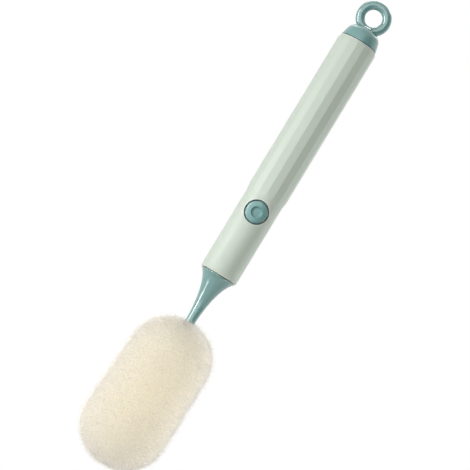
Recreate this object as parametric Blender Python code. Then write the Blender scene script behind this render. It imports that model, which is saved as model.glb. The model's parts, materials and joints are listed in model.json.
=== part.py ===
# Sponge bottle brush with a quick-release head, hanging from its ring.
# The handle's axis is +Z, the button faces -Y, and the origin is the centre of the hanging ring's eye.

import math

import bmesh
import bpy
from mathutils import Matrix, Vector

MM = 0.001

# Clearances
FIT_GAP = 0.3 * MM
SPLIT_GAP = 0.3 * MM

# Hanging ring, measured from the centre of its eye
RING_R = 8.75 * MM
RING_TUBE_R = 3.1 * MM
RING_SINK = 0.65 * MM
FOOT_MARGIN = 0.1 * MM
HUB_R = 4.4 * MM
HUB_SIDE = 2.2 * MM
HUB_CROWN_R = 2.4 * MM
HUB_DROP = 0.3 * MM
POST_R = 2.6 * MM
POST_TAIL = 1.5 * MM
CLIP_GRIP = 1.0 * MM
CLIP_RIM = 1.8 * MM
CLIP_THICKNESS = 0.6 * MM
CLIP_MOUTH = 2.4 * MM
WASHER_RIM = 2.4 * MM
WASHER_THICKNESS = 0.6 * MM

# End cap
CAP_HEIGHT = 9.6 * MM
CAP_LIP = 0.8 * MM
CAP_FLOOR = 3.0 * MM
CAP_SET_IN = 0.25 * MM
DOME_SHOULDER_IN = 1.15 * MM
DOME_SHOULDER_DOWN = 1.6 * MM
CAP_SPIGOT_LENGTH = 11.0 * MM
CAP_SPIGOT_WALL = 2.6 * MM

# O-rings, in the cap and on the head
SEAL_CORD_R = 0.5 * MM
SEAL_FROM_SHOULDER = 4.0 * MM
NECK_SEAL_FROM_FLANGE = 2.4 * MM

# Barrel
BARREL_LENGTH = 175.7 * MM
BARREL_R = 13.0 * MM
BARREL_WALL = 1.8 * MM
UPPER_WALL = 2.4 * MM
FACETS = 16
FACET_TURN_DEG = -2.5
FACET_RISE = 0.7 * MM
FACET_START = 56.8 * MM
FACET_FADE = 6.0 * MM
FACET_END = 2.2 * MM
FACET_END_FADE = 1.2 * MM
END_ROUND = 0.3 * MM

# Button, and the height of its centre above the barrel's mouth
BUTTON_HEIGHT = 46.5 * MM
BUTTON_R = 7.7 * MM
BUTTON_PROUD = 0.1 * MM
BUTTON_TRAVEL = 2.5 * MM
DIMPLE_R = 3.5 * MM
DIMPLE_FLOOR_R = 3.0 * MM
DIMPLE_DEPTH = 0.7 * MM
LUG_REACH = 1.5 * MM
LUG_WIDTH = 5.2 * MM
WEDGE_THICKNESS = 1.8 * MM
WEDGE_SPREAD = 1.8 * MM
WEDGE_LEAD = 0.4 * MM
WEDGE_ROOT = 0.5 * MM

# Return springs
SPRING_OFFSET = 4.6 * MM
SPRING_R = 1.5 * MM
SPRING_WIRE_R = 0.25 * MM
SPRING_TURNS = 4
SPRING_POCKET = 2.4 * MM

# Latch clip
CLIP_WIRE_R = 0.8 * MM
CLIP_ENTRY = 0.7 * MM
CLIP_BEND_BACK = 4.0 * MM

# Latch housing and mouth collar
COLLAR_LENGTH = 9.5 * MM
HOUSING_FLOOR = 0.9 * MM
HOUSING_HEAD = 7.3 * MM
SCREW_R = 1.0 * MM
SCREW_HEAD_R = 1.8 * MM
SCREW_HEAD_HEIGHT = 1.2 * MM
SCREW_HEAD_SEAT = 3.6 * MM
SCREW_LENGTH = 8.8 * MM
SCREW_WALL = 1.0 * MM
SCREW_LOW_INSET = 8.0 * MM
SCREW_HIGH_INSET = 4.2 * MM
SCREW_SLOT_WIDTH = 0.6 * MM
SCREW_SLOT_DEPTH = 0.5 * MM

# Shank
SHANK_R = 5.0 * MM
SHANK_FLAT = 4.5 * MM
SHANK_ABOVE_BUTTON = 10.5 * MM
SHANK_NOSE_R = 3.2 * MM
SHANK_NOSE_HEIGHT = 2.5 * MM
GROOVE_DEPTH = 1.0 * MM

# Neck
NECK_LENGTH = 33.5 * MM
NECK_FLANGE = 1.3 * MM
NECK_TIP_R = 3.12 * MM
NECK_PULL_R = 8.6 * MM
NECK_PULL_DOWN = 2.3 * MM
NECK_EASE_R = 3.4 * MM
NECK_EASE_DOWN = 14.7 * MM
NECK_TONGUE = 7.0 * MM
SPIGOT_R = 8.7 * MM
SPIGOT_LENGTH = 8.2 * MM
SOCKET_DEPTH = 8.0 * MM
PIN_R = 0.8 * MM
PIN_HEIGHT = 5.9 * MM

# Twisted wire and its anchor
WIRE_R = 0.75 * MM
WIRE_PITCH = 12.0 * MM
WIRE_IN_SHANK = 9.5 * MM
ANCHOR_R = 5.0 * MM
ANCHOR_HEIGHT = 5.0 * MM
ANCHOR_SOCKET = 3.5 * MM
ANCHOR_FROM_TIP = 15.0 * MM

# Sponge, a capsule that is slightly fuller at its lower end
SPONGE_LENGTH = 108.8 * MM
SPONGE_TOP_R = 28.6 * MM
SPONGE_BOTTOM_R = 29.8 * MM
SPONGE_COVER = 0.7 * MM

# Faces round each turned piece
BARREL_SIDES = 48
CAP_SIDES = 32
SMALL_SIDES = 20
SOFT_SIDES = 32

# Heights, from the ring down
CAP_TOP_Z = -(RING_R + RING_SINK)
SEAM_Z = CAP_TOP_Z - CAP_HEIGHT
BARREL_TOP_Z = SEAM_Z - FIT_GAP
MOUTH_Z = BARREL_TOP_Z - BARREL_LENGTH
BUTTON_Z = MOUTH_Z + BUTTON_HEIGHT
FLANGE_Z = MOUTH_Z - FIT_GAP
NECK_END_Z = FLANGE_Z - NECK_LENGTH
SPONGE_TOP_Z = NECK_END_Z - SPONGE_COVER
SPONGE_BOTTOM_Z = SPONGE_TOP_Z - SPONGE_LENGTH
SHANK_TOP_Z = BUTTON_Z + SHANK_ABOVE_BUTTON
SHANK_BOTTOM_Z = FLANGE_Z - SOCKET_DEPTH + FIT_GAP
HOUSING_BOTTOM_Z = MOUTH_Z + COLLAR_LENGTH + FIT_GAP
HOUSING_TOP_Z = SHANK_TOP_Z + FIT_GAP + HOUSING_HEAD
ANCHOR_BOTTOM_Z = SPONGE_BOTTOM_Z + ANCHOR_FROM_TIP
ANCHOR_TOP_Z = ANCHOR_BOTTOM_Z + ANCHOR_HEIGHT

# Radii that follow from the sizes above
RING_OUTER_R = RING_R + RING_TUBE_R
FOOT_R = math.sqrt(RING_OUTER_R**2 - CAP_TOP_Z**2) + FOOT_MARGIN
FOOT_BOTTOM_Z = -RING_OUTER_R - FOOT_MARGIN
HUB_TOP_Z = -(RING_R - RING_TUBE_R + HUB_DROP)
POCKET_R = FOOT_R + FIT_GAP
POCKET_FLOOR_Z = FOOT_BOTTOM_Z - FIT_GAP
CAP_CEILING_Z = POCKET_FLOOR_Z - CAP_FLOOR
WASHER_TOP_Z = CAP_CEILING_Z - FIT_GAP
WASHER_BOTTOM_Z = WASHER_TOP_Z - WASHER_THICKNESS
CAP_TOP_R = POCKET_R + CAP_LIP
CAP_R = BARREL_R - CAP_SET_IN
BORE_R = BARREL_R - BARREL_WALL
UPPER_BORE_R = BARREL_R - UPPER_WALL
INNER_R = BORE_R - FIT_GAP
CAP_SPIGOT_R = UPPER_BORE_R - FIT_GAP
SHANK_BORE_R = SHANK_R + FIT_GAP
WIRE_BORE_R = 2 * WIRE_R + FIT_GAP
COLLAR_BORE_R = SPIGOT_R + FIT_GAP
PIN_BORE_R = PIN_R + FIT_GAP
SEAL_DEPTH = 2 * (SEAL_CORD_R + FIT_GAP) - FIT_GAP

# Places across the latch, from the handle's axis towards the button at -Y
WELL_FLOOR_Y = -(SHANK_BORE_R + HOUSING_FLOOR)
BUTTON_BACK_Y = WELL_FLOOR_Y - FIT_GAP - BUTTON_TRAVEL
WEDGE_NOSE_Y = -(SHANK_R + WEDGE_LEAD + BUTTON_TRAVEL)
CLIP_TIP_Y = WEDGE_NOSE_Y + CLIP_ENTRY
RELIEF_Y = min(BUTTON_BACK_Y, CLIP_TIP_Y - BUTTON_TRAVEL - FIT_GAP)
GROOVE_R = SHANK_R - GROOVE_DEPTH
CLIP_LEG_X = GROOVE_R + FIT_GAP + CLIP_WIRE_R
CLIP_SLOT_HALF = CLIP_WIRE_R + FIT_GAP
SCREW_X = SHANK_BORE_R + SCREW_WALL + SCREW_R + FIT_GAP


def clear_scene():
    for thing in list(bpy.data.objects):
        bpy.data.objects.remove(thing, do_unlink=True)


def plastic(name, colour, roughness, metallic=0.0):
    """A material with one Principled BSDF."""
    material = bpy.data.materials.new(name)
    material.use_nodes = True
    shader = material.node_tree.nodes["Principled BSDF"]
    shader.inputs["Base Color"].default_value = (*colour, 1.0)
    shader.inputs["Roughness"].default_value = roughness
    shader.inputs["Metallic"].default_value = metallic
    return material


def finish(name, mesh_data, material, smooth_deg=35):
    """Turns a bmesh into a named object, shaded smooth but for its sharp edges."""
    bmesh.ops.recalc_face_normals(mesh_data, faces=mesh_data.faces)
    mesh = bpy.data.meshes.new(name)
    mesh_data.to_mesh(mesh)
    mesh_data.free()
    mesh.shade_smooth()
    mesh.set_sharp_from_angle(angle=math.radians(smooth_deg))
    mesh.materials.append(material)
    piece = bpy.data.objects.new(name, mesh)
    bpy.context.scene.collection.objects.link(piece)
    return piece


def hide_cutter(cutter):
    cutter.hide_render = True
    cutter.display_type = "WIRE"


def combine(piece, other, operation):
    """Adds a Boolean modifier that cuts, joins or intersects with the other object."""
    modifier = piece.modifiers.new(f"{operation.lower()} {other.name}", "BOOLEAN")
    modifier.operation = operation
    modifier.solver = "EXACT"
    modifier.object = other
    hide_cutter(other)


def turned(name, profile, material, sides):
    """Revolves a profile of (radius, height) points about Z. It closes on itself or on the axis."""
    shape = bmesh.new()
    points = [shape.verts.new((radius, 0, z)) for radius, z in profile]
    on_axis = profile[0][0] == 0 and profile[-1][0] == 0
    pairs = list(zip(points, points[1:]))
    if not on_axis:
        pairs.append((points[-1], points[0]))
    edges = [shape.edges.new(pair) for pair in pairs]
    bmesh.ops.spin(
        shape,
        geom=points + edges,
        cent=(0, 0, 0),
        axis=(0, 0, 1),
        angle=math.tau,
        steps=sides,
        use_merge=True,
    )
    bmesh.ops.remove_doubles(shape, verts=shape.verts, dist=1e-6)
    return finish(name, shape, material)


def rod(name, start, end, radius, material, end_radius=None, sides=SMALL_SIDES):
    """A round rod or a cone between two points."""
    start, end = Vector(start), Vector(end)
    shape = bmesh.new()
    bmesh.ops.create_cone(
        shape,
        cap_ends=True,
        segments=sides,
        radius1=radius,
        radius2=radius if end_radius is None else end_radius,
        depth=(end - start).length,
    )
    turn = (end - start).to_track_quat("Z", "Y").to_matrix().to_4x4()
    place = Matrix.Translation((start + end) / 2) @ turn
    bmesh.ops.transform(shape, matrix=place, verts=shape.verts)
    return finish(name, shape, material)


def block(name, low, high, material):
    """A box between two corners."""
    low, high = Vector(low), Vector(high)
    shape = bmesh.new()
    bmesh.ops.create_cube(shape, size=1.0)
    place = Matrix.Translation((low + high) / 2) @ Matrix.Diagonal((*(high - low), 1))
    bmesh.ops.transform(shape, matrix=place, verts=shape.verts)
    return finish(name, shape, material)


def torus(name, ring_r, tube_r, centre_z, material, upright=False, sides=32, tube_sides=10):
    """A ring about Z, or about Y where it stands upright."""
    shape = bmesh.new()
    circle = []
    for step in range(tube_sides):
        angle = math.tau * step / tube_sides
        place = (ring_r + tube_r * math.cos(angle), 0, tube_r * math.sin(angle))
        circle.append(shape.verts.new(place))
    edges = [shape.edges.new((circle[i - 1], circle[i])) for i in range(tube_sides)]
    bmesh.ops.spin(
        shape,
        geom=circle + edges,
        cent=(0, 0, 0),
        axis=(0, 0, 1),
        angle=math.tau,
        steps=sides,
        use_merge=True,
    )
    bmesh.ops.remove_doubles(shape, verts=shape.verts, dist=1e-6)
    turn = Matrix.Rotation(math.pi / 2 if upright else 0, 4, "X")
    place = Matrix.Translation((0, 0, centre_z)) @ turn
    bmesh.ops.transform(shape, matrix=place, verts=shape.verts)
    return finish(name, shape, material)


def wire(name, route, radius, material, sides=6):
    """A round wire along a route, with flat ends, as one unbroken tube."""
    shape = bmesh.new()
    rings = []
    side = None
    for i, point in enumerate(route):
        ahead = route[min(i + 1, len(route) - 1)] - route[max(i - 1, 0)]
        ahead.normalize()
        if side is None:
            side = ahead.orthogonal()
        side = (side - ahead * side.dot(ahead)).normalized()
        up = ahead.cross(side)
        ring = []
        for step in range(sides):
            angle = math.tau * step / sides
            out = side * math.cos(angle) + up * math.sin(angle)
            ring.append(shape.verts.new(point + out * radius))
        rings.append(ring)
    for first, second in zip(rings, rings[1:]):
        for i in range(sides):
            shape.faces.new((first[i - 1], first[i], second[i], second[i - 1]))
    shape.faces.new(rings[0])
    shape.faces.new(rings[-1])
    return finish(name, shape, material)


def bezier(start, pull, ease, end, steps):
    """Points on a cubic curve between two (radius, height) points, both ends included."""
    points = []
    for step in range(steps + 1):
        t = step / steps
        shares = ((1 - t) ** 3, 3 * t * (1 - t) ** 2, 3 * t**2 * (1 - t), t**3)
        corners = (start, pull, ease, end)
        points.append(tuple(sum(s * c[axis] for s, c in zip(shares, corners)) for axis in (0, 1)))
    return points


def arc(centre, radius, from_deg, to_deg, steps):
    """Points on an arc in the (radius, height) plane, both ends included."""
    points = []
    for step in range(steps + 1):
        angle = math.radians(from_deg + (to_deg - from_deg) * step / steps)
        points.append((centre[0] + radius * math.cos(angle), centre[1] + radius * math.sin(angle)))
    return points


def barrel_section(z, round_r, facet_share, shape):
    """One ring of the barrel: a circle, a polygon of FACETS sides, or a blend of the two."""
    half = math.pi / FACETS
    corner_r = BARREL_R + FACET_RISE
    ring = []
    for step in range(BARREL_SIDES):
        angle = math.tau * step / BARREL_SIDES
        flat_r = corner_r * math.cos(half) / math.cos(angle % (2 * half) - half)
        radius = round_r + (flat_r - round_r) * facet_share
        turned_by = angle + math.radians(FACET_TURN_DEG - 90)
        place = (radius * math.cos(turned_by), radius * math.sin(turned_by), z)
        ring.append(shape.verts.new(place))
    return ring


def barrel(material):
    """Moulded tube: round below, faceted above, with a stepped bore and the button's hole."""
    end_r = BARREL_R - END_ROUND
    fade_end = FACET_START + FACET_FADE
    facet_top = BARREL_LENGTH - FACET_END
    step_height = HOUSING_TOP_Z + FIT_GAP - MOUTH_Z
    outer = [(0, end_r, 0), (END_ROUND, BARREL_R, 0), (FACET_START, BARREL_R, 0)]
    for share in (0.15, 0.5, 0.85):
        outer.append((FACET_START + FACET_FADE * share, BARREL_R, share))
    outer += [(fade_end, BARREL_R, 1), (facet_top, BARREL_R, 1)]
    outer += [(facet_top + FACET_END_FADE, BARREL_R, 0)]
    outer += [(BARREL_LENGTH - END_ROUND, BARREL_R, 0), (BARREL_LENGTH, end_r, 0)]
    inner = [(BARREL_LENGTH, UPPER_BORE_R, 0), (step_height, UPPER_BORE_R, 0)]
    inner += [(step_height, BORE_R, 0), (0, BORE_R, 0)]
    shape = bmesh.new()
    rings = [barrel_section(MOUTH_Z + h, r, share, shape) for h, r, share in outer + inner]
    for first, second in zip(rings, rings[1:] + rings[:1]):
        for i in range(BARREL_SIDES):
            shape.faces.new((first[i - 1], first[i], second[i], second[i - 1]))
    piece = finish("barrel", shape, material, smooth_deg=12)
    hole_r = BUTTON_R + FIT_GAP
    hole = rod(
        "button_hole",
        (0, 0, BUTTON_Z),
        (0, -BARREL_R - FACET_RISE - FIT_GAP, BUTTON_Z),
        hole_r,
        material,
        sides=CAP_SIDES,
    )
    combine(piece, hole, "DIFFERENCE")
    return piece


def hanging_ring(material):
    """Loop with a domed hub on a round foot, and a grooved post that goes down through the cap."""
    groove_bottom = WASHER_BOTTOM_Z - CLIP_THICKNESS - 2 * FIT_GAP
    groove_r = POST_R - CLIP_GRIP
    hub_pull = (HUB_R, CAP_TOP_Z + HUB_SIDE)
    hub_ease = (HUB_CROWN_R, HUB_TOP_Z)
    profile = bezier((0, HUB_TOP_Z), hub_ease, hub_pull, (HUB_R, CAP_TOP_Z), 6)
    profile += [
        (FOOT_R, CAP_TOP_Z),
        (FOOT_R, FOOT_BOTTOM_Z),
        (POST_R, FOOT_BOTTOM_Z),
        (POST_R, WASHER_BOTTOM_Z),
        (groove_r, WASHER_BOTTOM_Z),
        (groove_r, groove_bottom),
        (POST_R, groove_bottom),
        (POST_R, groove_bottom - POST_TAIL / 2),
        (POST_R / 2, groove_bottom - POST_TAIL),
        (0, groove_bottom - POST_TAIL),
    ]
    loop = torus("hanging_ring", RING_R, RING_TUBE_R, 0, material, upright=True)
    foot = turned("ring_foot", profile, material, CAP_SIDES)
    combine(loop, foot, "UNION")
    return loop


def ring_washer(material):
    inner_r = POST_R + FIT_GAP
    outer_r = POST_R + WASHER_RIM
    profile = [(inner_r, WASHER_TOP_Z), (outer_r, WASHER_TOP_Z)]
    profile += [(outer_r, WASHER_BOTTOM_Z), (inner_r, WASHER_BOTTOM_Z)]
    return turned("ring_washer", profile, material, SMALL_SIDES)


def ring_clip(material):
    """Snap clip in the post's groove, open on one side."""
    top = WASHER_BOTTOM_Z - FIT_GAP
    bottom = top - CLIP_THICKNESS
    inner_r = POST_R - CLIP_GRIP + FIT_GAP
    outer_r = POST_R + CLIP_RIM
    profile = [(inner_r, top), (outer_r, top), (outer_r, bottom), (inner_r, bottom)]
    piece = turned("ring_clip", profile, material, SMALL_SIDES)
    low = (-CLIP_MOUTH / 2, 0, bottom - FIT_GAP)
    high = (CLIP_MOUTH / 2, outer_r + FIT_GAP, top + FIT_GAP)
    combine(piece, block("ring_clip_mouth", low, high, material), "DIFFERENCE")
    return piece


def seal_groove(outer_r, centre_z):
    """Three-sided groove for an O-ring, from its lower corner up, on a spigot of this radius."""
    half = SEAL_CORD_R + FIT_GAP
    floor_r = outer_r - SEAL_DEPTH
    low, high = centre_z - half, centre_z + half
    return [(outer_r, low), (floor_r, low), (floor_r, high), (outer_r, high)]


def end_cap(material):
    """Domed cap with a pocket for the ring's foot, and a hollow spigot for the barrel."""
    spigot_bottom = SEAM_Z - CAP_SPIGOT_LENGTH
    hollow_r = CAP_SPIGOT_R - CAP_SPIGOT_WALL
    post_bore_r = POST_R + FIT_GAP
    shoulder = (CAP_R - DOME_SHOULDER_IN, CAP_TOP_Z - DOME_SHOULDER_DOWN)
    profile = [
        (POCKET_R, CAP_TOP_Z),
        (POCKET_R, POCKET_FLOOR_Z),
        (post_bore_r, POCKET_FLOOR_Z),
        (post_bore_r, CAP_CEILING_Z),
        (hollow_r, CAP_CEILING_Z),
        (hollow_r, spigot_bottom),
        (CAP_SPIGOT_R, spigot_bottom),
    ]
    profile += seal_groove(CAP_SPIGOT_R, SEAM_Z - SEAL_FROM_SHOULDER)
    profile += [(CAP_SPIGOT_R, SEAM_Z)]
    profile += bezier((CAP_R, SEAM_Z), shoulder, shoulder, (CAP_TOP_R, CAP_TOP_Z), 7)
    return turned("end_cap", profile, material, CAP_SIDES)


def seal(name, spigot_r, centre_z, material):
    """O-ring that lies in the groove of a spigot."""
    ring_r = spigot_r - SEAL_DEPTH + FIT_GAP + SEAL_CORD_R
    return torus(name, ring_r, SEAL_CORD_R, centre_z, material, sides=24, tube_sides=6)


def mouth_collar(material):
    """Plain ring in the barrel's mouth. It holds the housing in and guides the neck's spigot."""
    top = MOUTH_Z + COLLAR_LENGTH
    lead_r = COLLAR_BORE_R + END_ROUND
    profile = [
        (lead_r, MOUTH_Z),
        (INNER_R, MOUTH_Z),
        (INNER_R, top),
        (COLLAR_BORE_R, top),
        (COLLAR_BORE_R, MOUTH_Z + END_ROUND),
    ]
    return turned("mouth_collar", profile, material, CAP_SIDES)


def shank_blank(name, gap, bottom, top, material):
    """Round bar with two flats, front and back. The housing's bore is the same shape with a gap."""
    bar = rod(name, (0, 0, bottom), (0, 0, top), SHANK_R + gap, material, sides=SMALL_SIDES)
    flat = SHANK_FLAT + gap
    reach = SHANK_R + gap + FIT_GAP
    low, high = (-reach, -flat, bottom - FIT_GAP), (reach, flat, top + FIT_GAP)
    combine(bar, block(f"{name}_flats", low, high, material), "INTERSECT")
    return bar


def screw_places():
    """Centre of each housing screw: two at the foot of the housing and two at its head."""
    low = HOUSING_BOTTOM_Z + SCREW_LOW_INSET
    high = HOUSING_TOP_Z - SCREW_HIGH_INSET
    return [(side * SCREW_X, z) for z in (low, high) for side in (-1, 1)]


def screw_holes(material):
    """A bore for each screw's shaft and a wider one for its head."""
    holes = []
    for number, (x, z) in enumerate(screw_places(), 1):
        tip = SCREW_HEAD_SEAT - SCREW_LENGTH - FIT_GAP
        start, end = (x, tip, z), (x, SCREW_HEAD_SEAT + FIT_GAP, z)
        bore_r = SCREW_R + FIT_GAP
        holes.append(rod(f"screw_bore_{number}", start, end, bore_r, material, sides=16))
        start, end = (x, SCREW_HEAD_SEAT, z), (x, BARREL_R, z)
        sink_r = SCREW_HEAD_R + FIT_GAP
        holes.append(rod(f"screw_sink_{number}", start, end, sink_r, material, sides=16))
    return holes


def housing_half(name, side, material):
    """Half of the latch housing. side is -1 for the front, where the button is, and 1 for the rear."""
    piece = rod(
        name,
        (0, 0, HOUSING_BOTTOM_Z),
        (0, 0, HOUSING_TOP_Z),
        INNER_R,
        material,
        sides=CAP_SIDES,
    )
    low = (-BARREL_R, min(side * SPLIT_GAP / 2, side * BARREL_R), HOUSING_BOTTOM_Z - FIT_GAP)
    high = (BARREL_R, max(side * SPLIT_GAP / 2, side * BARREL_R), HOUSING_TOP_Z + FIT_GAP)
    combine(piece, block(f"{name}_side", low, high, material), "INTERSECT")
    bore = shank_blank(
        f"{name}_bore",
        FIT_GAP,
        HOUSING_BOTTOM_Z - FIT_GAP,
        SHANK_TOP_Z + FIT_GAP,
        material,
    )
    combine(piece, bore, "DIFFERENCE")
    slot_x = CLIP_LEG_X + CLIP_WIRE_R + WEDGE_SPREAD
    slot_back = CLIP_BEND_BACK + CLIP_LEG_X + CLIP_WIRE_R + FIT_GAP
    low = (-slot_x, -BARREL_R, BUTTON_Z - CLIP_SLOT_HALF)
    high = (slot_x, slot_back, BUTTON_Z + CLIP_SLOT_HALF)
    combine(piece, block(f"{name}_clip_slot", low, high, material), "DIFFERENCE")
    for hole in screw_holes(material):
        combine(piece, hole, "DIFFERENCE")
    return piece


def housing_front(material):
    """Front half, with a round well for the button and clearance for its lugs."""
    piece = housing_half("housing_front", -1, material)
    start, end = (0, -BARREL_R, BUTTON_Z), (0, WELL_FLOOR_Y, BUTTON_Z)
    well = rod("button_well", start, end, BUTTON_R + FIT_GAP, material, sides=CAP_SIDES)
    combine(piece, well, "DIFFERENCE")
    half_width = LUG_WIDTH / 2 + FIT_GAP
    reach = BUTTON_R + LUG_REACH + FIT_GAP
    low = (-half_width, -BARREL_R, BUTTON_Z - reach)
    high = (half_width, WELL_FLOOR_Y, BUTTON_Z + reach)
    combine(piece, block("lug_well", low, high, material), "DIFFERENCE")
    return piece


def housing_screw(number, x, z, material):
    """Slotted screw along Y, with its head at the rear."""
    seat = SCREW_HEAD_SEAT + FIT_GAP
    head_top = seat + SCREW_HEAD_HEIGHT
    tip = SCREW_HEAD_SEAT - SCREW_LENGTH
    profile = [
        (0, head_top),
        (SCREW_HEAD_R, head_top),
        (SCREW_HEAD_R, seat),
        (SCREW_R, seat),
        (SCREW_R, tip + SCREW_R),
        (0, tip),
    ]
    piece = turned(f"housing_screw_{number}", profile, material, 16)
    piece.data.transform(Matrix.Rotation(-math.pi / 2, 4, "X"))
    piece.location = (x, 0, z)
    half = SCREW_SLOT_WIDTH / 2
    low = (x - SCREW_R, head_top - SCREW_SLOT_DEPTH, z - half)
    high = (x + SCREW_R, head_top + FIT_GAP, z + half)
    slot = block(f"screw_slot_{number}", low, high, material)
    combine(piece, slot, "DIFFERENCE")
    return piece


def latch_clip(material):
    """Hairpin clip: two straight legs in the shank's groove, joined by a bend behind it."""
    route = [Vector((-CLIP_LEG_X, CLIP_TIP_Y, 0)), Vector((-CLIP_LEG_X, 0, 0))]
    bend_steps = 12
    for step in range(bend_steps + 1):
        angle = math.pi * step / bend_steps
        x = -CLIP_LEG_X * math.cos(angle)
        y = CLIP_BEND_BACK + CLIP_LEG_X * math.sin(angle)
        route.append(Vector((x, y, 0)))
    route += [Vector((CLIP_LEG_X, 0, 0)), Vector((CLIP_LEG_X, CLIP_TIP_Y, 0))]
    piece = wire("latch_clip", route, CLIP_WIRE_R, material, sides=8)
    piece.location.z = BUTTON_Z
    return piece


def button_spring(name, side, material):
    """Compression spring along Y, between the well's floor and a pocket in the button."""
    start = WELL_FLOOR_Y - FIT_GAP - SPRING_WIRE_R
    end = BUTTON_BACK_Y - SPRING_POCKET + FIT_GAP + SPRING_WIRE_R
    steps = 8 * SPRING_TURNS
    route = []
    for step in range(steps + 1):
        angle = math.tau * step * SPRING_TURNS / steps
        x, z = SPRING_R * math.cos(angle), SPRING_R * math.sin(angle)
        route.append(Vector((x, start + (end - start) * step / steps, z)))
    pitch = abs(end - start) / SPRING_TURNS
    print(f"{name}: least gap between turns {1000 * (pitch - 2 * SPRING_WIRE_R):.2f} mm")
    piece = wire(name, route, SPRING_WIRE_R, material, sides=5)
    piece.location.z = BUTTON_Z + side * SPRING_OFFSET
    return piece


def push_button(material):
    """Round button whose face follows the barrel, with a dimple, lugs, pockets and a wedge."""
    front = -BARREL_R - FIT_GAP - BUTTON_PROUD
    start, end = (0, front, 0), (0, BUTTON_BACK_Y, 0)
    piece = rod("push_button", start, end, BUTTON_R, material, sides=CAP_SIDES)
    face_r = BARREL_R + BUTTON_PROUD
    reach = BUTTON_R + LUG_REACH + FIT_GAP
    face = rod("button_face", (0, 0, -reach), (0, 0, reach), face_r, material, sides=96)
    combine(piece, face, "INTERSECT")
    dimple_y = DIMPLE_DEPTH - face_r
    dimple = rod(
        "button_dimple",
        (0, dimple_y, 0),
        (0, dimple_y - 2 * DIMPLE_DEPTH, 0),
        DIMPLE_FLOOR_R,
        material,
        end_radius=2 * DIMPLE_R - DIMPLE_FLOOR_R,
        sides=32,
    )
    combine(piece, dimple, "DIFFERENCE")
    half_width = LUG_WIDTH / 2
    lug_front = FIT_GAP - math.sqrt(BORE_R**2 - half_width**2)
    low = (-half_width, lug_front, -BUTTON_R - LUG_REACH)
    high = (half_width, BUTTON_BACK_Y, BUTTON_R + LUG_REACH)
    lugs = block("button_lugs", low, high, material)
    keep = BUTTON_R - LUG_REACH
    low = (-BARREL_R, lug_front - FIT_GAP, -keep)
    high = (BARREL_R, BUTTON_BACK_Y + FIT_GAP, keep)
    combine(lugs, block("between_lugs", low, high, material), "DIFFERENCE")
    combine(piece, lugs, "UNION")
    for side in (-1, 1):
        start = (0, BUTTON_BACK_Y + FIT_GAP, side * SPRING_OFFSET)
        end = (0, BUTTON_BACK_Y - SPRING_POCKET, side * SPRING_OFFSET)
        pocket_r = SPRING_R + SPRING_WIRE_R + FIT_GAP
        pocket = rod(f"spring_pocket_{side + 2}", start, end, pocket_r, material, sides=16)
        combine(piece, pocket, "DIFFERENCE")
    relief_x = BUTTON_R + FIT_GAP
    low = (-relief_x, RELIEF_Y, -CLIP_SLOT_HALF)
    high = (relief_x, BUTTON_BACK_Y + FIT_GAP, CLIP_SLOT_HALF)
    combine(piece, block("clip_relief", low, high, material), "DIFFERENCE")
    combine(piece, button_wedge(material), "UNION")
    piece.location.z = BUTTON_Z
    for modifier in piece.modifiers:
        modifier.object.location.z += BUTTON_Z
    for modifier in lugs.modifiers:
        modifier.object.location.z += BUTTON_Z
    return piece


def button_wedge(material):
    """Tapered tongue that goes between the clip's legs and spreads them."""
    nose_x = CLIP_LEG_X - CLIP_WIRE_R - WEDGE_LEAD
    full_x = nose_x + WEDGE_LEAD + WEDGE_SPREAD
    root_y = RELIEF_Y - WEDGE_ROOT
    outline = [(-nose_x, WEDGE_NOSE_Y), (nose_x, WEDGE_NOSE_Y), (full_x, RELIEF_Y)]
    outline += [(full_x, root_y), (-full_x, root_y), (-full_x, RELIEF_Y)]
    half = WEDGE_THICKNESS / 2
    shape = bmesh.new()
    corners = [shape.verts.new((x, y, -half)) for x, y in outline]
    base = shape.faces.new(corners)
    raised = bmesh.ops.extrude_face_region(shape, geom=[base])["geom"]
    top = [item for item in raised if isinstance(item, bmesh.types.BMVert)]
    bmesh.ops.translate(shape, verts=top, vec=(0, 0, WEDGE_THICKNESS))
    return finish("button_wedge", shape, material)


def neck(material):
    """Trumpet from the handle's width to a thin stem, with a spigot above and a tongue below."""
    spigot_top = FLANGE_Z + SPIGOT_LENGTH
    socket_floor = FLANGE_Z - SOCKET_DEPTH
    tip_z = NECK_END_Z - NECK_TONGUE
    rim_z = FLANGE_Z - NECK_FLANGE
    flare = bezier(
        (CAP_R, rim_z),
        (NECK_PULL_R, rim_z - NECK_PULL_DOWN),
        (NECK_EASE_R, rim_z - NECK_EASE_DOWN),
        (NECK_TIP_R, NECK_END_Z),
        10,
    )
    profile = [(SHANK_BORE_R, spigot_top), (SPIGOT_R - END_ROUND, spigot_top)]
    profile += [(SPIGOT_R, spigot_top - END_ROUND)]
    profile += reversed(seal_groove(SPIGOT_R, FLANGE_Z + NECK_SEAL_FROM_FLANGE))
    profile += [(SPIGOT_R, FLANGE_Z), (CAP_R, FLANGE_Z)]
    profile += flare
    profile += [(NECK_TIP_R, tip_z), (WIRE_BORE_R, tip_z)]
    profile += [(WIRE_BORE_R, socket_floor), (SHANK_BORE_R, socket_floor)]
    piece = turned("neck", profile, material, CAP_SIDES)
    combine(piece, pin_hole("neck_pin_hole", material), "DIFFERENCE")
    return piece


def pin_hole(name, material):
    start, end = (-BARREL_R, 0, pin_z()), (BARREL_R, 0, pin_z())
    return rod(name, start, end, PIN_BORE_R, material, sides=16)


def pin_z():
    return FLANGE_Z + PIN_HEIGHT


def neck_pin(material):
    """Cross pin through the spigot and the shank."""
    reach = SPIGOT_R - FIT_GAP
    start, end = (-reach, 0, pin_z()), (reach, 0, pin_z())
    return rod("neck_pin", start, end, PIN_R, material, sides=16)


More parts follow.
